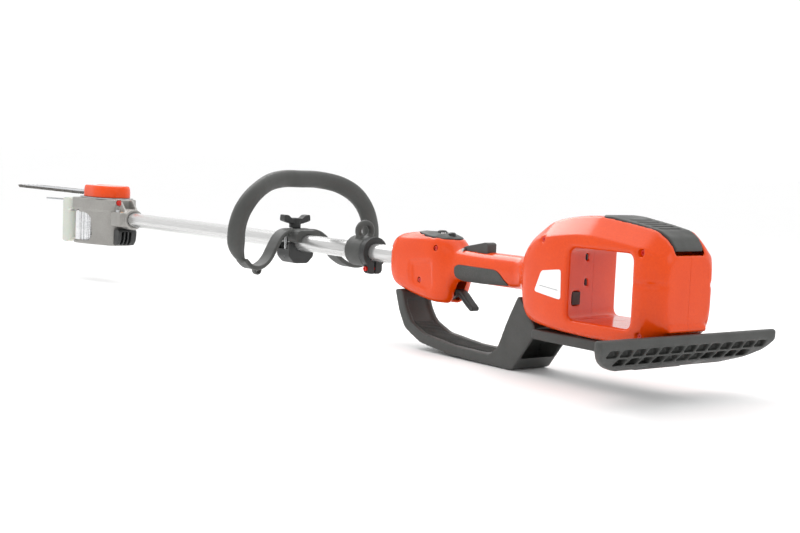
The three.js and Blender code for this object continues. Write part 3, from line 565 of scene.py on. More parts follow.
    def _through(self, kind: str, **settings) -> "Solid":
        """Apply one modifier and return what it makes.

        Args:
            kind: Blender's name for the modifier.
            settings: Values for its properties.

        Returns:
            The changed solid.
        """
        holder = bpy.data.objects.new("work", self.mesh)
        bpy.context.scene.collection.objects.link(holder)
        modifier = holder.modifiers.new("step", kind)
        for name, value in settings.items():
            setattr(modifier, name, value)
        graph = bpy.context.evaluated_depsgraph_get()
        mesh = bpy.data.meshes.new_from_object(holder.evaluated_get(graph))
        bpy.data.objects.remove(holder)
        return Solid(mesh)

    def _with(self, others: tuple["Solid", ...], operation: str) -> "Solid":
        """Combine with other solids, one after the other.

        Args:
            others: Solids to combine with.
            operation: UNION, DIFFERENCE or INTERSECT.

        Returns:
            The result.
        """
        result = self
        for other in others:
            tool = bpy.data.objects.new("tool", other.mesh)
            bpy.context.scene.collection.objects.link(tool)
            result = result._through("BOOLEAN", object=tool, operation=operation, solver="MANIFOLD")
            bpy.data.objects.remove(tool)
        return result

    def join(self, *others: "Solid") -> "Solid":
        """Unite with other solids."""
        return self._with(others, "UNION")

    def cut(self, *others: "Solid") -> "Solid":
        """Take other solids away."""
        return self._with(others, "DIFFERENCE")

    def common(self, *others: "Solid") -> "Solid":
        """Keep only what lies in every solid."""
        return self._with(others, "INTERSECT")

    def moulded(self, voxel: float, passes: int = 5) -> "Solid":
        """Round every edge as a mould does.

        Args:
            voxel: Size of the even mesh in millimetres.
            passes: How many times the skin is relaxed.

        Returns:
            The rounded solid.
        """
        even = self._through("REMESH", mode="VOXEL", voxel_size=voxel)
        bm = bmesh.new()
        bm.from_mesh(even.mesh)
        for _ in range(passes):
            bmesh.ops.smooth_vert(bm, verts=bm.verts, factor=0.5, use_axis_x=True, use_axis_y=True,
                                  use_axis_z=True)
        bm.to_mesh(even.mesh)
        bm.free()
        return even

    def half(self, side: int, gap: float = 0.12) -> "Solid":
        """Keep the -Y or +Y half, closed on the parting plane.

        Args:
            side: Minus one for -Y, one for +Y.
            gap: Clearance left between the two halves.

        Returns:
            The half.
        """
        bm = bmesh.new()
        bm.from_mesh(self.mesh)
        found = bmesh.ops.bisect_plane(bm, geom=bm.verts[:] + bm.edges[:] + bm.faces[:], dist=1e-5,
                                       plane_co=(0, side * gap, 0), plane_no=(0, -side, 0), clear_outer=True)
        rims = [g for g in found["geom_cut"] if isinstance(g, bmesh.types.BMEdge)]
        bmesh.ops.triangle_fill(bm, use_beauty=True, edges=rims)
        return self._from(bm)

    def warped(self, move: Callable[[Vector], Vector]) -> "Solid":
        """Move every point by a function from old to new place."""
        for vert in self.mesh.vertices:
            vert.co = move(vert.co.copy())
        return self

    def beside(self, *others: "Solid") -> "Solid":
        """Put solids that don't touch into one mesh."""
        bm = bmesh.new()
        for solid in (self, *others):
            bm.from_mesh(solid.mesh)
        return self._from(bm)

    def piece(self, name: str, body: str, finish: Finish, *nodes: str,
              sharp: float = 38.0) -> bpy.types.Object:
        """Finish the shape as a piece of the saw.

        Args:
            name: Name of the piece.
            body: Frame body it rides on.
            finish: Its surface.
            *nodes: Frame nodes it stands for.
            sharp: Angle in degrees over which an edge stays crisp.

        Returns:
            The finished object.
        """
        self.mesh.transform(Matrix.Diagonal((MM, MM, MM, 1)))
        self.mesh.name = name
        self.mesh.materials.clear()
        self.mesh.materials.append(finish.material())
        self.mesh.polygons.foreach_set("use_smooth", [True] * len(self.mesh.polygons))
        self.mesh.polygons.foreach_set("material_index", [0] * len(self.mesh.polygons))
        self.mesh.set_sharp_from_angle(angle=math.radians(sharp))
        made = bpy.data.objects.new(name, self.mesh)
        bpy.context.scene.collection.objects.link(made)
        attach(made, body)
        if nodes:
            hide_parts(*nodes)
        LOG.info("%s: %d faces", name, len(self.mesh.polygons))
        return made


rod, block, prism = Solid.rod, Solid.block, Solid.prism


@dataclass(frozen=True)
class Station:
    """One cross-section of a moulded body.

    Attributes:
        x: Place along the shaft.
        top: Height of its top.
        bottom: Height of its underside.
        half: Half width.
        power: Squareness of its corners.
        chamfer: Share of the upper corner that a flat chamfer takes.
    """

    x: float
    top: float
    bottom: float
    half: float
    power: float
    chamfer: float = 0.0

    def ring(self, count: int, inset: float) -> list[Vector]:
        """Points round the section, moved in by an inset.

        Args:
            count: How many points.
            inset: How far in from the skin.

        Returns:
            The points, in order.
        """
        mid = (self.top + self.bottom) / 2
        high, wide = (self.top - self.bottom) / 2 - inset, self.half - inset
        points = []
        for k in range(count):
            t = 2 * math.pi * k / count
            c, s = math.cos(t), math.sin(t)
            y = wide * math.copysign(abs(c) ** (2 / self.power), c)
            z = high * math.copysign(abs(s) ** (2 / self.power), s)
            if self.chamfer > 0.02 and z > 0:
                cy, cz = self.chamfer * wide, self.chamfer * high * 0.8
                reach = abs(y) / cy + z / cz
                limit = 1 + (wide - cy) / cy + (high - cz) / cz
                if reach > limit:
                    y, z = y * limit / reach, z * limit / reach
            points.append(Vector((self.x, y, mid + z)))
        return points


def lofted(stations: list[Station], inset: float = 0.0, count: int = 88, between: int = 5) -> Solid:
    """Skin a smooth body through its stations.

    Args:
        stations: Cross-sections in order along the shaft.
        inset: Distance that the skin is moved in.
        count: Points round each section.
        between: Sections made for each given one.

    Returns:
        The solid.
    """
    rows = [(s.x, s.top, s.bottom, s.half, s.power, s.chamfer) for s in stations]
    out = [stations[0]]
    for i in range(len(rows) - 1):
        before, a, b, after = rows[max(0, i - 1)], rows[i], rows[i + 1], rows[min(len(rows) - 1, i + 2)]
        for k in range(1, between + 1):
            t = k / between
            values = [a[0] + (b[0] - a[0]) * t]
            for j in range(1, 6):
                span = b[0] - a[0]
                into = (b[j] - before[j]) / (b[0] - before[0]) if i else (b[j] - a[j]) / span
                away = (after[j] - a[j]) / (after[0] - a[0]) if i + 2 < len(rows) else (b[j] - a[j]) / span
                slope = (b[j] - a[j]) / span
                into = 0.0 if into * slope <= 0 else math.copysign(min(abs(into), 3 * abs(slope)), slope)
                away = 0.0 if away * slope <= 0 else math.copysign(min(abs(away), 3 * abs(slope)), slope)
                h0, h1 = 2 * t**3 - 3 * t**2 + 1, t**3 - 2 * t**2 + t
                h2, h3 = -2 * t**3 + 3 * t**2, t**3 - t**2
                values.append(h0 * a[j] + h1 * span * into + h2 * b[j] + h3 * span * away)
            out.append(Station(*values))
    return Solid.skin([s.ring(count, inset) for s in out])


def hexagon(centre: Point, radius: float) -> list[Point]:
    """Corners of a hexagon round a centre."""
    turns = [k * math.pi / 3 for k in range(6)]
    return [(centre[0] + radius * math.cos(t), centre[1] + radius * math.sin(t)) for t in turns]


def screw_head(axis: Axis, radius: float, span: Point, centre: Point, turned: int = 1) -> Solid:
    """Round screw head with a six-sided socket in its outer end.

    Args:
        axis: Axis of the screw.
        radius: Radius of the head.
        span: Lowest and highest coordinate of the head along the axis.
        centre: Its centre on the two other axes, in XYZ order.
        turned: One if the socket is at the high end, minus one if it is at the low end.

    Returns:
        The head.
    """
    head = rod(axis, radius, span, centre, 32)
    depth = (span[1] - 1.2, span[1] + 1) if turned > 0 else (span[0] - 1, span[0] + 1.2)
    return head.cut(prism(axis, hexagon(centre, radius * 0.5), depth))


def finish_halves(whole: Solid, piece: str, node: str, finish: Finish, sharp: float) -> None:
    """Part a moulding down the middle and finish both halves.

    Args:
        whole: The moulding.
        piece: First part of the halves' names.
        node: What the frame's two nodes are called after their side.
        finish: Look of both halves.
        sharp: Angle in degrees above which an edge stays crisp.
    """
    for side, name in ((-1, "left"), (1, "right")):
        half = whole.half(side)
        half.piece(f"{piece}_{name}_moulding", FRAME_BODY, finish, f"{name}_{node}", sharp=sharp)


# ---------------------------------------------------------- battery housing


@dataclass
class BatteryHousing:
    """Two-part orange housing with an open battery bay, its vent cover, label and screws."""

    bay_x: Point = (121.0, 212.0)
    bay_z: Point = (72.5, 151.5)
    bay_slant: float = 0.19
    wall: float = 3.0
    screws: tuple = ((222.7, 153.7, 4.2), (77.4, 157.2, 3.6), (45.5, 132.0, 3.0), (224.0, 67.5, 3.2))
    stations: list[Station] = field(default_factory=lambda: [
        Station(38.2, 150, 77, 39, 3.4, 0.1), Station(46, 156, 62, 43.5, 4, 0.25),
        Station(58, 165, 58.5, 46.2, 4.8, 0.34), Station(74, 176, 57.5, 48, 6, 0.4),
        Station(95, 182, 56, 49.5, 7, 0.42), Station(125, 186.3, 55, 50, 8, 0.42),
        Station(150, 187.3, 54, 50, 8, 0.42), Station(200, 181, 55, 50, 8, 0.42),
        Station(222, 177, 58, 49.8, 8, 0.42), Station(228, 174.5, 60, 49, 7, 0.42),
        Station(240, 166, 66.5, 43, 6, 0.38), Station(246, 158, 73, 38.5, 5, 0.3),
        Station(249, 151, 80, 34, 4, 0.2)])

    def body(self) -> Solid:
        """The hollow housing with its bay, band and recesses, before it is parted."""
        outer = lofted(self.stations)
        guard = block((self.bay_x[0] - 3, self.bay_x[1] + 3), (-80, 80),
                      (self.bay_z[0] - 3, self.bay_z[1] + 3))
        guard = guard.warped(self.slanted)
        room = lofted(self.stations, self.wall).cut(guard, block((36, 44), (-60, 60), (40, 84)),
                                                    block((245.6, 255), (-60, 60), (40, 200)), *self.bosses())
        through = prism(Axis.Y, rectangle(self.bay_x, self.bay_z, 9), (-80, 80)).warped(self.slanted)
        funnel = self.funnel()
        hole = block((172, 224), (-18, 18), (160, 195))
        shell = outer.cut(room).cut(through, *funnel, block((30, 46), (-34, 34), (86, 146)))
        shell = shell.cut(self.vent_seat(), hole, *self.band(), *self.recesses(), *self.wall_slots())
        return shell.join(self.lip())

    def slanted(self, point: Vector) -> Vector:
        """Run the bay's front wall forward towards the right-hand side."""
        if point.x < 150:
            point.x -= self.bay_slant * (point.y + 50)
        return point

    def bosses(self) -> list[Solid]:
        """Solid bosses behind the screw pockets."""
        return [rod(Axis.Y, r + 2.4, span, (x, z), 32) for x, z, r in self.screws
                for span in ((-60, -38), (38, 60))]

    def vent_seat(self) -> Solid:
        """Sunk seat that the vent cover lies in."""
        side = [(142.5, 182.4), (142.5, 196), (252, 196), (252, 150), (241, 155), (233.5, 164.6),
                (223.6, 170.6), (200, 175.5), (160, 181.5)]
        plan = [(142.5, -20.4), (149.8, -28.5), (232, -24.5), (252, -21.4), (252, 21.4), (232, 24.5),
                (149.8, 28.5), (142.5, 20.4)]
        return prism(Axis.Y, side, (-40, 40)).common(prism(Axis.Z, softened(plan, 5), (140, 200)))

    def funnel(self) -> list[Solid]:
        """Widened mouth on both sides of the bay."""
        out = []
        for side in (-1, 1):
            rings = []
            for y, grow in ((45.5, -0.6), (47.2, 0.4), (49, 2.2), (51, 4.6)):
                plan = rectangle((self.bay_x[0] - grow, self.bay_x[1] + grow),
                                 (self.bay_z[0] - grow, self.bay_z[1] + grow), 9 + grow)
                rings.append([self.slanted(Vector((u, side * y, v))) for u, v in plan])
            out.append(Solid.skin(rings))
        return out

    def band(self) -> list[Solid]:
        """Sunk band round the rear."""
        ledge = [(213, 118), (300, 118), (300, 124.5), (213, 124.5)]
        step = lofted(self.stations, -2, 48, 2).cut(lofted(self.stations, 1.5, 48, 2))
        return [step.common(prism(Axis.Y, softened(ledge, 2), (-80, 80)))]

    def recesses(self) -> list[Solid]:
        """Round pockets of the housing screws on the near and far sides."""
        out = []
        for x, z, r in self.screws:
            for side in (-1, 1):
                span = (-60, -43.4) if side < 0 else (43.4, 60)
                out.append(rod(Axis.Y, r, span, (x, z), 32))
        return out

    def wall_slots(self) -> list[Solid]:
        """Terminal slots, latch window and the liner's shallow lines, one upright and two along the floor."""
        slots = [block((104, 120), wide, (z, z + tall))
                 for wide, tall in (((-15, -11), 8), ((-12, -7.4), 2.5)) for z in (108, 136)]
        slots.append(block((106, 124), (-38.4, -25.6), (87.6, 102.4)))
        lines = [block((117.6, 119.6), (-39.4, -38.4), (73, 151)), block((124, 206), (-20, -19), (71.6, 73)),
                 block((124, 206), (19, 20), (71.6, 73))]
        return slots + lines

    def lip(self) -> Solid:
        """Ledge low on the rear face."""
        ledge = block((238, 250.4), (-30, 30), (72, 79), 2.0)
        return ledge.cut(lofted(self.stations, 2, 48, 2))

    def parted(self) -> None:
        """Mould the housing, part it down the middle and finish both halves."""
        finish_halves(self.body().moulded(1.35, 4), "housing", "battery_housing", ORANGE_ABS, 50)

    def vent(self) -> None:
        """Louvred cover let into the top."""
        cover = Solid.of_node("vent_cover")
        lean = [(176.4, 172), (179, 190), (180.2, 190), (177.8, 172)]
        blades = [prism(Axis.Y, [(x + i * 10, z) for x, z in lean], (-17, 17)) for i in range(5)]
        cover = cover.moulded(0.9, 3)
        cover.piece("vent_cover_moulding", FRAME_BODY, DARK_NYLON, "vent_cover", sharp=60)
        fins = blades[0].beside(*blades[1:]).common(lofted(self.stations, 4.0, 48, 2))
        fins.piece("vent_louvres", FRAME_BODY, BLACK_NYLON)

    def label(self) -> None:
        """Blank film label with one printed rule, wrapped on the near side."""
        plan = softened([(79, 122.5), (110.5, 126.5), (112, 93), (68, 98.5)], 4, 5)
        film = lofted(self.stations, -0.32, 160, 8).cut(lofted(self.stations, -0.02, 160, 8))
        film.common(prism(Axis.Y, plan, (-60, -30))).piece("blank_label", FRAME_BODY, LABEL_FILM)
        ink = lofted(self.stations, -0.42, 160, 8).cut(lofted(self.stations, -0.3, 160, 8))
        rule = [(77, 105.6), (107, 102.9), (107, 103.5), (77, 106.2)]
        ink.common(prism(Axis.Y, rule, (-60, -30))).piece("label_rule", FRAME_BODY, LABEL_INK)

    def screw_set(self) -> None:
        """Screw heads at the bottom of their pockets."""
        heads = []
        for x, z, r in self.screws[:2] + self.screws[3:]:
            heads.append(screw_head(Axis.Y, r * 0.72, (-45.2, -43.6), (x, z), -1))
        heads[0].beside(*heads[1:]).piece("housing_screws", FRAME_BODY, RED_CAP)

    def build(self) -> None:
        """Build every piece of the housing."""
        self.parted()
        self.vent()
        self.label()
        self.screw_set()


# -------------------------------------------------------------- rear handle


@dataclass
class RearHandle:
    """Two-part handle with its soft pads, keypad, lockout lever and trigger."""

    wall: float = 2.8
    upper_screw: Point = (-134.3, 130.2)
    lower_screw: Point = (-162.3, 88.0)
    stations: list[Station] = field(default_factory=lambda: [
        Station(-225, 134, 86, 20, 2.9, 0.1), Station(-222.4, 138, 80, 23, 3.2, 0.16),
        Station(-217, 141, 76, 24.6, 3.7, 0.24), Station(-205, 144.5, 73, 26, 4.4, 0.34),
        Station(-168, 148.6, 65.5, 26.5, 5, 0.36), Station(-140, 147.3, 61.5, 26, 4.4, 0.36),
        Station(-125, 144.5, 61.5, 24, 3.4, 0.3), Station(-116, 140, 67, 21.5, 2.9, 0.2),
        Station(-110, 135, 83, 20, 2.6), Station(-105, 132, 91, 19, 2.5),
        Station(-60, 131, 91.5, 18.5, 2.4), Station(0, 131, 91.5, 18.5, 2.4),
        Station(15, 133, 89, 21, 2.6), Station(28, 140, 85.5, 29, 3), Station(37.7, 149, 82, 38.5, 3.4)])
    pad_side: tuple = ((-104, 96), (-103, 110), (-96, 113), (-30, 112.5), (-22, 109), (-9, 95), (-60, 92),
                       (-96, 92.5))
    keypad_plan: tuple = ((-184, -10), (-172, -18), (-146, -20.5), (-124, -15.5), (-117.5, 0), (-124, 15.5),
                          (-146, 20.5), (-172, 18), (-184, 10))

    def pad_region(self, grow: float) -> Solid:
        """Space that the soft pads take on both sides, grown by a margin.

        Args:
            grow: The margin.

        Returns:
            The space as one solid.
        """
        mid = Vector((-58, 102))
        plan = []
        for point in self.pad_side:
            out = Vector(point) - mid
            plan.append(tuple(Vector(point) + out.normalized() * grow))
        left = prism(Axis.Y, softened(plan, 4.5, 6), (-40, -4.6))
        right = prism(Axis.Y, softened(plan, 4.5, 6), (4.6, 40))
        return left.beside(right)

    def recesses(self) -> list[Solid]:
        """Side panel, its border and the screw pockets, on both sides."""
        panel = softened([(-178, 108), (-138, 112.5), (-134.5, 74), (-174, 83)], 5)
        border = softened([(-184, 112), (-133, 117), (-130, 68), (-180, 80)], 7)
        out = []
        for side in (-1, 1):
            deep = (-40, -24.9) if side < 0 else (24.9, 40)
            shallow = (-40, -25.7) if side < 0 else (25.7, 40)
            pocket = (-40, -20) if side < 0 else (20, 40)
            out += [prism(Axis.Y, panel, deep), prism(Axis.Y, border, shallow),
                    rod(Axis.Y, 3.4, pocket, self.upper_screw, 32),
                    rod(Axis.Y, 3.0, pocket, self.lower_screw, 32)]
        return out

    def body(self) -> Solid:
        """Hollow handle with all of its openings, before it is parted."""
        outer = lofted(self.stations)
        ribs = [block(span, (-40, 40), (60, 160)) for span in ((-230, -220.6), (-210, -206), (-194, -190))]
        room = lofted(self.stations, self.wall, 64, 4).cut(*ribs, block((-137, -110), (-40, 40), (55, 66)))
        seat = lofted(self.stations, -3, 64, 4).cut(lofted(self.stations, 1.2, 64, 4))
        seat = seat.common(self.pad_region(0.3))
        grown = []
        for x, y in self.keypad_plan:
            out = Vector((x + 143, y))
            grown.append(tuple(Vector((-143, 0)) + out + out.normalized() * 0.5))
        return outer.cut(room, block((37, 45), (-35, 35), (86, 146)), seat).cut(
            rod(Axis.X, SHAFT_R + 0.3, (-260, -180), (0, SHAFT_Z)),
            prism(Axis.Z, softened(grown, 7), (141, 170)),
            block((-103, -55), (-7.7, 7.7), (120, 150)),
            block((-138, -96), (-6.8, 6.8), (50, 90.5)), *self.recesses())

    def shells(self) -> None:
        """Mould, part and finish both shells."""
        finish_halves(self.body().moulded(1.15, 4), "handle", "handle_shell", ORANGE_ABS, 50)

    def pads(self) -> None:
        """Overmoulded soft pads under the palm."""
        skin = lofted(self.stations, -0.6, 88, 5).cut(lofted(self.stations, 1.1, 88, 5))
        skin = skin.common(self.pad_region(-0.2)).moulded(0.6, 1)
        finish_halves(skin, "grip_pad", "grip_pad", GRIP_RUBBER, 60)

    def keypad(self) -> None:
        """Dark keypad with a raised border, two domed buttons and a row of lamps."""
        panel = Solid.of_node("keypad_panel")
        sunk = [((x + 150) * 0.87 - 150, y * 0.84) for x, y in self.keypad_plan]
        field_cut = prism(Axis.Z, softened(sunk, 6), (135, 165)).cut(lofted(self.stations, -0.35, 64, 4))
        panel.cut(field_cut).moulded(0.55, 2).piece("keypad_moulding", FRAME_BODY, DARK_NYLON, "keypad_panel",
                                                    sharp=60)
        for node, body, x, r, top in (("power_button", "power_button_unit", -150, 6, 151),
                                      ("boost_button", "boost_button_unit", -131, 4.5, 149.6)):
            stem = rod(Axis.Z, r, (140, top - 1.2), (x, 0), 48)
            dome = rod(Axis.Z, r, (top - 1.2, top), (x, 0), 48, r - 1.6)
            dish = rod(Axis.Z, r * 0.5, (top - 0.5, top + 1), (x, 0), 32)
            flange = rod(Axis.Z, r + 1.4, (137.5, 140.6), (x, 0), 48)
            stem.join(dome, flange).cut(dish).piece(f"{node}_cap", body, BLACK_NYLON, node)
        lamps = [rod(Axis.Z, 0.9, (146.5, 149.0), (-140.6, y), 16) for y in (-9, -6, -3, 3, 6, 9)]
        lamps[0].beside(*lamps[1:]).piece("charge_lamps", FRAME_BODY, LABEL_FILM)

    def lever(self) -> None:
        """Wedge-shaped lockout lever on top of the grip, with finger steps."""
        lever = Solid.of_node("lockout_lever")
        steps = [rod(Axis.Y, 0.55, (-6, 6), (-73 + i * 3.0, 140.4 + i * 0.6), 12) for i in range(4)]
        lever = lever.cut(*steps).moulded(0.5, 3)
        lever.piece("lockout_lever_moulding", "lockout_unit", DARK_NYLON, "lockout_lever", sharp=60)

    def trigger(self) -> None:
        """Curved trigger with a hollowed finger face."""
        line = spline([(-131, 69), (-124, 72.5), (-112, 76.5), (-103, 73.5), (-92, 65), (-83, 58.8)], 40)
        width = [4.1 if i < 18 else 4.1 - 0.04 * (i - 18) for i in range(40)]
        blade = prism(Axis.Y, ribbon(line, width), (-5.5, 5.5))
        parts = [rod(Axis.Y, 5.2, (-5.6, 5.6), (-127, 72), 48), block((-130, -124), (-4, 4), (72, 88)),
                 rod(Axis.Y, 3.1, (-5.5, 5.5), (-83.8, 59.4), 32)]
        whole = blade.join(*parts).cut(rod(Axis.Y, 2.3, (-10, 10), (-127, 72), 24))
        hollow = prism(Axis.Y, ribbon(line[16:36], 1.2), (-7, -4.4))
        whole.cut(hollow).moulded(0.5, 3).piece("trigger_moulding", "trigger_unit", BLACK_NYLON,
                                                "power_trigger", sharp=60)

    def screw_set(self) -> None:
        """Screw heads in the near shell's pockets."""
        heads = [screw_head(Axis.Y, 2.6, (-23.0, -20.6), self.upper_screw, -1),
                 screw_head(Axis.Y, 2.4, (-24.0, -21.6), self.lower_screw, -1)]
        heads[0].beside(heads[1]).piece("handle_screws", FRAME_BODY, RED_CAP)

    def build(self) -> None:
        """Build every piece of the rear handle."""
        self.shells()
        self.pads()
        self.keypad()
        self.lever()
        self.trigger()
        self.screw_set()


@dataclass
class Underside:
    """Hand guard and rest foot under the tool."""

    def guard(self) -> None:
        """Hand guard bow, rounded, with its ribbed rest strip."""
        bow = Solid.of_node("hand_guard").moulded(1.25, 5)
        bow.piece("hand_guard_moulding", FRAME_BODY, DARK_NYLON, "hand_guard", sharp=60)
        floor = spline([(-178, 30.4), (-151, 19.0), (-110, 14.0), (-75, 11.9), (-42, 11.1)], 24)
        under, over = Vector((0, 0.4)), Vector((0, 1.9))
        bed = [tuple(p + under) for p in floor] + [tuple(p + over) for p in reversed(floor)]
        strip = prism(Axis.Y, bed, (-15.6, 15.6))
        ribs = []
        for p in spline([tuple(q) for q in floor], 34):
            ribs.append(block((p.x - 0.9, p.x + 0.9), (-15, 15), (p.y + 1.2, p.y + 2.7)))
        strip.join(ribs[0].beside(*ribs[1:])).piece("guard_rest_strip", FRAME_BODY, GRIP_RUBBER)

    def foot(self) -> None:
        """Wide rest foot with a rolled rim and two rows of open cells."""
        foot = Solid.of_node("support_foot")
        foot.moulded(1.1, 4).piece("support_foot_moulding", FRAME_BODY, DARK_NYLON, "support_foot", sharp=60)

    def build(self) -> None:
        """Build the guard and the foot."""
        self.guard()
        self.foot()


# -------------------------------------------------------- shaft and fittings


@dataclass
class LoopHandle:
    """Loop handle with its clamp, bolts and wing knob."""

    saddle_x: float = -468.0
    limb_x: float = -450.0
    limb_r: float = 12.3
    half_path: tuple = ((104, -26), (113, -10), (116, 6), (114, 27), (105, 49), (87, 69.5), (61, 84),
                        (30, 90))

    def swept_back(self, point: Vector) -> Vector:
        """Push a point back along X with its distance from the centre plane.

        Args:
            point: Place before.

        Returns:
            Place after.
        """
        t = min(1.0, max(0.0, (abs(point.y) - 18) / 80))
        point.x += (self.limb_x - self.saddle_x) * t * t * (3 - 2 * t)
        return point

    def arm(self, side: int) -> Solid:
        """Curved strip from the saddle to the limb's end.

        Args:
            side: Minus one for -Y, one for +Y.

        Returns:
            The strip.
        """
        line = [(0, 16.5), (22, 16), (36, 9), (48, -6), (60, -22), (76, -32), (94, -32), (106, -22)]
        run = spline([(side * y, SHAFT_Z + z) for y, z in line], 48)
        flat = prism(Axis.X, ribbon(run, 2.8), (self.saddle_x - 12, self.saddle_x + 13))
        edges = [Solid.sweep([Vector((self.saddle_x + dx, p.x, p.y)) for p in run[2:]], 3.2, 12)
                 for dx in (-10, 11)]
        return flat.join(*edges)

    def body(self) -> Solid:
        """The loop in one moulding."""
        x = self.saddle_x
        near = [(x, -y, SHAFT_Z + z) for y, z in self.half_path]
        far = [(x, y, SHAFT_Z + z) for y, z in reversed(self.half_path)]
        limb = Solid.sweep(spline([*near, (x, 0, SHAFT_Z + 90.5), *far], 180), self.limb_r, 48, (0.3, 22))
        saddle_plan = softened([(-20, SHAFT_Z + 0.4), (20, SHAFT_Z + 0.4), (22, SHAFT_Z + 10),
                                (17, SHAFT_Z + 18), (-17, SHAFT_Z + 18), (-22, SHAFT_Z + 10)], 4)
        saddle = prism(Axis.X, saddle_plan, (x - 25, x + 26))
        lug_plan = softened([(-86, SHAFT_Z - 30), (-72, SHAFT_Z - 30), (-72, SHAFT_Z - 40),
                             (-76, SHAFT_Z - 44), (-82, SHAFT_Z - 44), (-86, SHAFT_Z - 40)], 4)
        lug = prism(Axis.X, lug_plan, (x - 4, x + 5))
        whole = limb.join(self.arm(1), self.arm(-1), saddle, lug)
        whole = whole.cut(rod(Axis.X, 3, (x - 9, x + 9), (-79, SHAFT_Z - 38.4), 24))
        whole = whole.warped(self.swept_back)
        return whole.cut(
            rod(Axis.X, SHAFT_R + 0.3, (-560, -380), (0, SHAFT_Z)),
            block((-489, -465), (-24, -14.2), (SHAFT_Z - 1, SHAFT_Z + 8)),
            rod(Axis.Z, 3.4, (SHAFT_Z + 13.5, SHAFT_Z + 22), (-478, 0), 24))

    def clamp(self) -> None:
        """Lower clamp half and its two bolts."""
        clamp = Solid.of_node("loop_clamp")
        notch = block((-489, -462), (-24, -21.8), (SHAFT_Z - 19, SHAFT_Z - 16))
        clamp.cut(notch).moulded(0.7, 2).piece("loop_clamp_moulding", "loop_unit", BLACK_NYLON, "loop_clamp",
                                               sharp=60)
        for side, name in ((-1, "left"), (1, "right")):
            bolt = rod(Axis.Z, 2.45, (SHAFT_Z - 21, SHAFT_Z + 8.4), (-474, side * 17), 32)
            bolt.piece(f"{name}_clamp_bolt_turned", "loop_unit", ZINC, f"{name}_clamp_bolt")

    def knob(self) -> None:
        """Wing knob with cupped fingers and a ribbed hub."""
        cx = -478.0
        wing = [(-22.5, 142), (-22, 151), (-14.5, 150.4), (-11, 147), (-7, 145), (7, 145), (11, 147),
                (14.5, 150.4), (22, 151), (22.5, 142), (9, 138), (-9, 138)]
        blade = prism(Axis.X, softened(wing, 2), (cx - 6.4, cx + 6.4))
        hub = rod(Axis.Z, 8.4, (131.8, 146), (cx, 0), 48)
        grooves = [rod(Axis.Z, 0.9, (130, 141),
                       (cx + 8.6 * math.cos(k * math.pi / 6), 8.6 * math.sin(k * math.pi / 6)), 12)
                   for k in range(12)]
        cup = rod(Axis.Z, 5.2, (144.2, 150), (cx, 0), 32)
        shank = rod(Axis.Z, 3, (126.6, 133), (cx, 0), 24)
        knob = hub.cut(*grooves).join(blade).cut(cup).join(shank)
        knob.moulded(0.6, 3).piece("clamp_knob_moulding", "knob_unit", BLACK_NYLON, "clamp_knob", sharp=60)

    def build(self) -> None:
        """Build the loop handle and its fittings."""
        self.body().moulded(1.0, 5).piece("loop_handle_moulding", "loop_unit", DARK_NYLON, "loop_handle",
                                          sharp=60)
        self.clamp()
        self.knob()


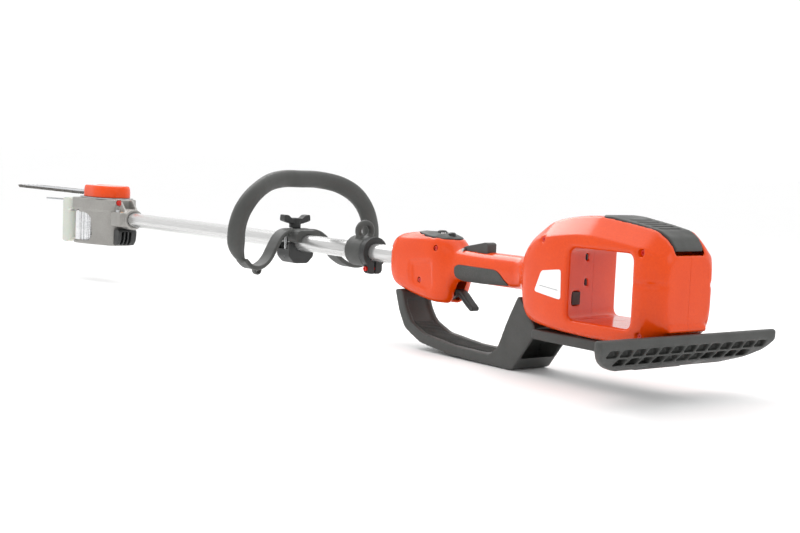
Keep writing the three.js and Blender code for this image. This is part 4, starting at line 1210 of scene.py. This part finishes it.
@dataclass
class ShaftFittings:
    """Tube, gasket, harness ring and stop collar."""

    ring_x: float = -312.0
    screw_offset: float = 21.5

    def tube(self) -> None:
        """Thin drawn tube, open at both ends."""
        outer = rod(Axis.X, SHAFT_R, (-998, -192), (0, SHAFT_Z), 128)
        bore = rod(Axis.X, SHAFT_R - 1.5, (-999, -191), (0, SHAFT_Z), 96)
        outer.cut(bore).piece("shaft_tube_drawn", FRAME_BODY, ANODISED, "shaft_tube")
        gasket = rod(Axis.X, 17, (-228.6, -225.3), (0, SHAFT_Z), 96)
        gasket = gasket.cut(rod(Axis.X, SHAFT_R + 0.3, (-250, -220), (0, SHAFT_Z), 96))
        gasket.piece("tube_gasket_moulded", FRAME_BODY, BLACK_NYLON, "tube_gasket")

    def ring(self) -> None:
        """Swivelling ring with a smooth harness eye."""
        x = self.ring_x
        band = rod(Axis.X, 20.4, (x - 17, x + 16), (0, SHAFT_Z), 96)
        turns = [2 * math.pi * k / 64 for k in range(64)]
        eye_line = [Vector((x + 1, 11 * math.sin(t), SHAFT_Z + 27 + 10.4 * math.cos(t))) for t in turns]
        segments = []
        for k in range(4):
            part = [eye_line[(k * 16 + i) % 64] for i in range(-2, 19)]
            segments.append(Solid.sweep(part, 4.5, 24))
        foot = block((x - 4, x + 6), (-12, 12), (SHAFT_Z + 12, SHAFT_Z + 20))
        whole = band.join(foot, *segments).cut(
            rod(Axis.X, 15.9, (-400, -200), (0, SHAFT_Z), 96),
            rod(Axis.X, 6.4, (x - 20, x + 20), (0, SHAFT_Z + 27), 48))
        whole.moulded(0.8, 4).piece("harness_ring_moulding", "ring_unit", DARK_NYLON, "harness_ring",
                                    sharp=60)

    def collar(self) -> None:
        """Split stop collar and its red clamp screw."""
        x0, x = self.ring_x - 20, self.ring_x + self.screw_offset
        lugs = softened([(-12, 96), (-12, 86), (-8, 83), (8, 83), (12, 86), (12, 96)], 2)
        body = rod(Axis.X, 15.6, (x0, self.ring_x + 18), (0, SHAFT_Z), 96).join(
            rod(Axis.X, 17.5, (x0, x0 + 2.6), (0, SHAFT_Z), 96),
            rod(Axis.X, 20.4, (self.ring_x + 16.4, self.ring_x + 26.5), (0, SHAFT_Z), 96),
            prism(Axis.X, lugs, (self.ring_x + 16.4, self.ring_x + 26.5)))
        body = body.cut(
            rod(Axis.X, SHAFT_R + 0.3, (-400, -200), (0, SHAFT_Z), 96),
            block((self.ring_x + 10, self.ring_x + 40), (-1.2, 1.2), (70, 108)),
            rod(Axis.Y, 2.8, (-20, 20), (x, 90), 24),
            rod(Axis.Y, 4.4, (-20, -9.4), (x, 90), 32))
        body.moulded(0.7, 2).piece("stop_collar_moulding", "collar_unit", BLACK_NYLON, "stop_collar",
                                   sharp=60)
        shank = rod(Axis.Y, 2.5, (-10, 13.9), (x, 90), 32)
        socket = prism(Axis.Y, hexagon((x, 90), 1.9), (-15, -12.4))
        head = prism(Axis.Y, hexagon((x, 90), 3.4), (-14, -9.8)).cut(socket)
        head.join(shank).piece("collar_screw_turned", "collar_screw_unit", RED_CAP, "collar_screw")

    def build(self) -> None:
        """Build the tube and what is clamped to it."""
        self.tube()
        self.ring()
        self.collar()


# ------------------------------------------------------------- cutting head


@dataclass
class CuttingHead:
    """Casting, motor, oil tank, orange cover, bar and chain."""

    bar_z: float = 151.0
    nose_x: float = -1383.0
    sprocket_x: float = -1050.0
    bend_x: float = -1088.0
    nose_line_r: float = 23.9
    rear_line_r: float = 18.9
    pitch: float = 8.3
    stud_x: float = -1101.0
    motor: Point = (-1090.0, -20.2)
    cap: Point = (-1139.0, 104.0)
    tension_screw: Point = (-12.0, 139.0)
    clamp_screw: Point = (-984.0, -20.5)

    def casting(self) -> None:
        """Die-cast head with its parting seam, and its moulded rear cover."""
        cast = Solid.of_node("head_housing")
        seam = prism(Axis.Y, [(-1062, 96), (-1061.4, 96.5), (-1001, 71.5), (-1001.6, 71)], (-60, 60))
        cast = cast.cut(seam).moulded(1.1, 3)
        cast.piece("head_casting", FRAME_BODY, DIE_CAST, "head_housing", sharp=60)
        cover = Solid.of_node("head_rear_cover").moulded(0.6, 2)
        cover.piece("head_rear_cover_moulding", FRAME_BODY, BLACK_NYLON, "head_rear_cover", sharp=60)

    def can(self) -> None:
        """Finned motor can, its fins rounded over."""
        cx, cy = self.motor
        outline = []
        count = 26
        for k in range(count * 8):
            t = 2 * math.pi * k / (count * 8)
            wave = 0.5 + 0.5 * math.tanh(3.2 * math.cos(count * t))
            outline.append((cx + (22.4 + 2.5 * wave) * math.cos(t), cy + (22.4 + 2.5 * wave) * math.sin(t)))
        can = prism(Axis.Z, outline, (70, 121.5)).cut(
            rod(Axis.Z, 20, (75, 130), (cx, cy)), rod(Axis.Z, 8.3, (60, 80), (cx, cy)))
        can.piece("motor_can", FRAME_BODY, CAN_ALLOY, "motor_housing", sharp=50)

    def tank(self) -> None:
        """Milky oil tank with ribs, a filler neck and its cap."""
        tank = Solid.of_node("oil_tank")
        groove = block((-1166, -1116), (-46, -43.2), (121.4, 122.6))
        tank.cut(groove).moulded(0.85, 3).piece("oil_tank_moulding", FRAME_BODY, TANK_HDPE, "oil_tank",
                                                sharp=60)
        teeth = 20
        outline = []
        for k in range(teeth * 8):
            t = 2 * math.pi * k / (teeth * 8)
            r = 14.9 + 0.45 * math.cos(teeth * t)
            outline.append((self.cap[0] + r * math.cos(t), self.cap[1] + r * math.sin(t)))
        cap = prism(Axis.Y, outline, (5, 12.9), 0.5).cut(rod(Axis.Y, 12.4, (0, 8.4), self.cap))
        cap = cap.join(block((-1150, -1128), (12.4, 15.9), (102, 106), 1.0))
        cap.piece("oil_tank_cap_moulding", "tank_cap_unit", BLACK_NYLON, "oil_tank_cap")

    def cover(self) -> None:
        """Orange sprocket cover with a domed top, nut recess and rib."""
        plan = softened([(-1096, -33), (-1052, -33), (-1030, -27), (-1018, -13), (-1017.5, 10), (-1028, 26),
                         (-1050, 33), (-1128, 33), (-1129.4, 28)], 9, 7)
        room = softened([(-1120, -30), (-1053, -30), (-1032, -24.5), (-1021, -12), (-1020, 9),
                         (-1030.5, 23.5), (-1051, 30), (-1150, 30), (-1150, -30)], 7, 5)
        levels = ((146.3, 1.0), (155, 1.0), (160, 0.992), (163.5, 0.975), (165.6, 0.95), (166.7, 0.915))
        rings = [[Vector((-1070 + (x + 1070) * s, y * s, z)) for x, y in plan] for z, s in levels]
        shell = Solid.skin(rings).cut(prism(Axis.Z, room, (140, 161.5)))
        rib = prism(Axis.Z, softened([(-1088, -6), (-1030, -4), (-1030, 4), (-1088, 6)], 4), (164, 166.9))
        shell = shell.join(rod(Axis.Z, 13, (153.6, 164), (self.stud_x, 0)), rib).cut(
            rod(Axis.Z, 4.5, (150, 170), (self.stud_x, 0), 32),
            rod(Axis.Z, 10, (158, 170), (self.stud_x, 0)))
        shell.moulded(0.8, 4).piece("sprocket_cover_moulding", FRAME_BODY, ORANGE_ABS, "sprocket_cover",
                                    sharp=60)
        nut = prism(Axis.Z, hexagon((self.stud_x, 0), 7.9), (158.4, 165.6), 0.6)
        nut = nut.join(rod(Axis.Z, 9.2, (158.4, 159.8), (self.stud_x, 0)))
        nut = nut.cut(rod(Axis.Z, 4.3, (150, 170), (self.stud_x, 0), 32))
        nut.piece("bar_nut_turned", "bar_nut_unit", ZINC, "bar_nut")

    def bar(self) -> None:
        """Laminated guide bar with its slot, pin hole and rounded edges."""
        z0, z1 = self.bar_z - 2.05, self.bar_z + 2.05
        nose = [(self.nose_x + 22 * math.cos(t), 22 * math.sin(t))
                for t in (math.pi / 2 + math.pi * k / 40 for k in range(41))]
        outline = nose + [(-1092, -22), (-1075, -16), (-1075, 16), (-1092, 22)]
        plate = prism(Axis.Z, outline, (z0, z1), 0.35)
        plate = plate.cut(
            prism(Axis.Z, rectangle((-1112, -1071), (-4.4, 4.4), 3), (140, 160)),
            rod(Axis.Z, 2.7, (140, 160), (-1086, -12), 24),
            rod(Axis.Z, 1.6, (140, 160), (-1118, 9), 24), rod(Axis.Z, 1.6, (140, 160), (-1118, -9), 24),
            rod(Axis.Z, 23, (self.bar_z - 0.9, self.bar_z + 0.9), (self.nose_x, 0)))
        rivets = []
        for t in (0.4, 1.65, 2.9, 4.15, 5.4):
            place = (self.nose_x + 8 * math.cos(t), 8 * math.sin(t))
            rivets.append(rod(Axis.Z, 1.9, (z0 - 0.05, z1 + 0.05), place, 20))
        plate.join(rod(Axis.Z, 3.2, (z0, z1), (self.nose_x, 0), 32), *rivets).piece(
            "guide_bar_ground", "bar_unit", GROUND_STEEL, "guide_bar")

    def chain_runs(self) -> tuple[float, ...]:
        """Lengths of the chain line's stretches: side, nose, side, lead, sprocket and lead."""
        side = self.bend_x - self.nose_x
        lead = math.hypot(self.sprocket_x - self.bend_x, self.nose_line_r - self.rear_line_r)
        return side, math.pi * self.nose_line_r, side, lead, math.pi * self.rear_line_r, lead

    def station_on_chain(self, s: float) -> tuple[Vector, Vector]:
        """Point and heading on the chain's pitch line.

        Args:
            s: Distance along the line in millimetres.

        Returns:
            Place in plan and unit heading.
        """
        half, rear = self.nose_line_r, self.rear_line_r
        arcs = self.chain_runs()
        s %= sum(arcs)
        if s < arcs[0]:
            return Vector((self.bend_x - s, half)), Vector((-1, 0))
        s -= arcs[0]
        if s < arcs[1]:
            t = math.pi / 2 + s / half
            u, v = math.cos(t), math.sin(t)
            return Vector((self.nose_x + half * u, half * v)), Vector((-v, u))
        s -= arcs[1]
        if s < arcs[2]:
            return Vector((self.nose_x + s, -half)), Vector((1, 0))
        s -= arcs[2]
        if s < arcs[3]:
            heading = Vector((self.sprocket_x - self.bend_x, half - rear)).normalized()
            return Vector((self.bend_x, -half)) + heading * s, heading
        s -= arcs[3]
        if s < arcs[4]:
            t = -math.pi / 2 + s / rear
            u, v = math.cos(t), math.sin(t)
            return Vector((self.sprocket_x + rear * u, rear * v)), Vector((-v, u))
        s -= arcs[4]
        heading = Vector((self.bend_x - self.sprocket_x, half - rear)).normalized()
        return Vector((self.sprocket_x, rear)) + heading * s, heading

    def chain(self) -> None:
        """Saw chain: drive links, tie straps, rivets and alternating cutters."""
        total = sum(self.chain_runs())
        pitches = 2 * round(total / self.pitch / 2)
        step = total / pitches
        bm = bmesh.new()
        strap = softened([(-5.4, -1.9), (5.4, -1.9), (5.4, 1.0), (-5.4, 1.0)], 1.8, 2)
        drive = softened([(-5.6, -1.9), (-1.6, -2.1), (0.6, -2.2), (5.6, -1.9), (5.6, 1.4), (-5.6, 1.4)],
                         1.4, 2)
        cutter = [(-5.6, -1.9), (5.6, -1.9), (5.6, 1.0), (4.4, 3.1), (2.8, 0.8), (0.2, 0.9), (-1.2, 3.35),
                  (-5.4, 2.8)]
        plates = []
        for k in range(pitches):
            if k % 2:
                plates.append((k, drive, -0.62, 0.62))
            elif k % 4 == 0 and k % 8:
                plates += [(k, cutter, 0.8, 2.2), (k, strap, -2.0, -0.8)]
            elif k % 8 == 0:
                plates += [(k, cutter, -2.2, -0.8), (k, strap, 0.8, 2.0)]
            else:
                plates += [(k, strap, 0.8, 2.0), (k, strap, -2.0, -0.8)]
        for k, shape, low, high in plates:
            place, heading = self.station_on_chain(k * step)
            out = Vector((heading.y, -heading.x))
            corners = [bm.verts.new((*(place + heading * u + out * v), self.bar_z + low)) for u, v in shape]
            grown = bmesh.ops.extrude_face_region(bm, geom=[bm.faces.new(corners)])["geom"]
            bmesh.ops.translate(bm, verts=[g for g in grown if isinstance(g, bmesh.types.BMVert)],
                                vec=(0, 0, high - low))
        for k in range(pitches):
            place, _ = self.station_on_chain((k + 0.5) * step)
            bmesh.ops.create_cone(bm, cap_ends=True, segments=10, radius1=1.3, radius2=1.3, depth=5.0,
                                  matrix=Matrix.Translation((*place, self.bar_z)))
        Solid._from(bm).piece("saw_chain_links", FRAME_BODY, CHAIN_STEEL, "saw_chain", sharp=30)

    def hook(self) -> None:
        """Slim spring-steel hook beside the bar."""
        line = spline([(-1108, 14), (-1140, 15), (-1170, 13), (-1205, 5), (-1238, -9), (-1267, -22)], 40)
        width = [7.3 - 5.5 * max(0.0, (i - 11) / 28) for i in range(40)]
        hook = prism(Axis.Z, ribbon(line, width), (132.75, 135.45), 0.5)
        hook.piece("limb_hook_pressed", FRAME_BODY, ZINC, "limb_hook")

    def fixings(self) -> None:
        """Tension screw, clamp screw and clamp seal."""
        shank = rod(Axis.X, 2.5, (-1094, -999), self.tension_screw, 24)
        head = rod(Axis.X, 4.5, (-1000.6, -996.9), self.tension_screw, 48)
        slot = block((-998.6, -995), (-17, -7), (138.3, 139.7))
        head.cut(slot).join(shank).piece("tension_screw_turned", "tension_screw_unit", RED_CAP,
                                         "chain_tension_screw")
        clamp = screw_head(Axis.Z, 4.3, (SHAFT_Z + 12.4, SHAFT_Z + 16), self.clamp_screw)
        clamp.join(rod(Axis.Z, 2.6, (SHAFT_Z - 11, SHAFT_Z + 13), self.clamp_screw, 24)).piece(
            "head_clamp_screw_turned", FRAME_BODY, ZINC, "head_clamp_screw")
        seal = prism(Axis.Z, rectangle((-996, -976), (-19, -9), 2), (SHAFT_Z + 11.6, SHAFT_Z + 12.5))
        seal.cut(rod(Axis.Z, 6, (110, 140), self.clamp_screw, 32)).piece("clamp_seal", FRAME_BODY, SEAL)

    def build(self) -> None:
        """Build every piece of the head."""
        self.casting()
        self.can()
        self.tank()
        self.cover()
        self.bar()
        self.chain()
        self.hook()
        self.fixings()


# ---------------------------------------------------------- carried-over nodes


@dataclass(frozen=True)
class InnerWorks:
    """Frame nodes that keep their own shape and only take a finish."""

    finishes: tuple = (
        (ZINC, ("bar_plate", "drive_sprocket", "output_gear", "output_bearing", "upper_motor_bearing",
                "lower_motor_bearing", "bar_stud", "bar_adjuster_block", "oil_pump_gear", "lockout_pin",
                "trigger_pin", "motor_rotor", "motor_shaft", "nose_sprocket")),
        (WINDING, ("motor_stator",)),
        (BLACK_NYLON, ("oil_pump", "motor_cable", "trigger_switch", "battery_connector", "battery_latch")),
        (BOARD, ("control_board",)),
    )

    def build(self) -> None:
        """Give each carried-over node its material, merged edges and smooth shading."""
        for finish, names in self.finishes:
            for name in names:
                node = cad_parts[name]
                node.data.materials.clear()
                node.data.materials.append(finish.material())
                node.data.polygons.foreach_set("use_smooth", [True] * len(node.data.polygons))
                node.modifiers.new("merge", "WELD").merge_threshold = MERGE_M
                split = node.modifiers.new("crisp", "EDGE_SPLIT")
                split.split_angle = math.radians(35)
                LOG.info("%s: finished as %s", name, finish.name)


# ------------------------------------------------------------------ studio


@dataclass(frozen=True)
class Studio:
    """Pale floor, soft lights and the camera."""

    eye: tuple = (1.1888, -1.1394, 0.2445)
    ahead: tuple = (-0.7777, 0.6235, -0.0802)
    over: tuple = (-0.0897, 0.0163, 0.9958)
    lens_mm: float = 63.0
    behind: float = 0.88

    def floor(self) -> None:
        """Large matt floor just under the sole of the guard."""
        bm = bmesh.new()
        bmesh.ops.create_grid(bm, x_segments=8, y_segments=8, size=30.0,
                              matrix=Matrix.Translation((0, 0, -0.0004)))
        mesh = bpy.data.meshes.new("studio_floor")
        bm.to_mesh(mesh)
        bm.free()
        paint = bpy.data.materials.new("Matt white studio floor")
        paint.use_nodes = True
        shader = paint.node_tree.nodes["Principled BSDF"]
        where = put(paint.node_tree, "ShaderNodeTexCoord").outputs["Object"]
        cloud = put(paint.node_tree, "ShaderNodeTexNoise", {"Vector": where, "Scale": 3.0})
        mix = put(paint.node_tree, "ShaderNodeMix", {0: cloud.outputs["Fac"]}, data_type="RGBA")
        mix.inputs[6].default_value = linear("#fdfdfd")
        mix.inputs[7].default_value = linear("#fbfbfb")
        paint.node_tree.links.new(mix.outputs[2], shader.inputs["Base Color"])
        shader.inputs["Roughness"].default_value = 0.6
        mesh.materials.append(paint)
        plane = bpy.data.objects.new("studio_floor", mesh)
        bpy.context.scene.collection.objects.link(plane)

    def light(self, name: str, place: tuple, target: tuple, size: tuple, power: float) -> None:
        """Add one rectangular soft light aimed at a point.

        Args:
            name: Name of the light.
            place: Where it stands, in metres.
            target: Point it faces, in metres.
            size: Width and height, in metres.
            power: Watts.
        """
        lamp = bpy.data.lights.new(name, "AREA")
        lamp.shape = "RECTANGLE"
        lamp.size, lamp.size_y = size
        lamp.energy = power
        holder = bpy.data.objects.new(name, lamp)
        holder.location = place
        holder.rotation_mode = "QUATERNION"
        holder.rotation_quaternion = (Vector(target) - Vector(place)).to_track_quat("-Z", "Y")
        bpy.context.scene.collection.objects.link(holder)

    def camera(self) -> None:
        """Place the camera behind and to the left of the tool."""
        lens = bpy.data.cameras.new("studio_camera")
        lens.lens = self.lens_mm
        lens.sensor_width = 36.0
        lens.clip_start, lens.clip_end = 0.01, 100.0
        holder = bpy.data.objects.new("studio_camera", lens)
        back, up = -Vector(self.ahead).normalized(), Vector(self.over)
        right = up.cross(back).normalized()
        up = back.cross(right)
        turn = Matrix((right, up, back)).transposed()
        holder.matrix_world = Matrix.Translation(self.eye) @ turn.to_4x4()
        bpy.context.scene.collection.objects.link(holder)
        bpy.context.scene.camera = holder

    def build(self) -> None:
        """Set up the whole studio."""
        world = bpy.data.worlds.new("studio")
        world.use_nodes = True
        tree = world.node_tree
        way = put(tree, "ShaderNodeTexCoord").outputs["Generated"]
        facing = put(tree, "ShaderNodeVectorMath", {0: way, 1: (-0.78, 0.62, 0.0)}, operation="DOT_PRODUCT")
        fall = put(tree, "ShaderNodeMapRange",
                   {0: facing.outputs["Value"], 1: -0.5, 2: 0.4, 3: self.behind, 4: 1.12},
                   interpolation_type="SMOOTHSTEP")
        backdrop = tree.nodes["Background"]
        backdrop.inputs["Color"].default_value = (1, 1, 1, 1)
        tree.links.new(fall.outputs[0], backdrop.inputs["Strength"])
        bpy.context.scene.world = world
        bpy.context.scene.view_settings.view_transform = "Standard"
        self.floor()
        self.light("overhead_softbox", (-0.1, 0.1, 1.5), (0, 0, 0.1), (2.6, 1.2), 7.0)
        self.light("front_softbox", (-1.35, 0.15, 1.25), (0.1, 0, 0.12), (1.3, 0.7), 12.0)
        self.light("side_softbox", (0.3, -1.8, 1.0), (0, 0, 0.1), (1.6, 0.8), 1.5)
        self.light("rear_softbox", (1.9, 0.5, 0.9), (0.2, 0, 0.1), (0.8, 0.8), 2.0)
        self.camera()


def main() -> None:
    """Build the saw piece by piece."""
    logging.basicConfig(level=logging.INFO, format="%(name)s %(message)s")
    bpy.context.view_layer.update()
    Studio().build()
    for assembly in (BatteryHousing(), RearHandle(), Underside(), LoopHandle(), ShaftFittings(),
                     CuttingHead(),
                     InnerWorks()):
        LOG.info("building %s", type(assembly).__name__)
        assembly.build()


if __name__ == "__main__":
    main()
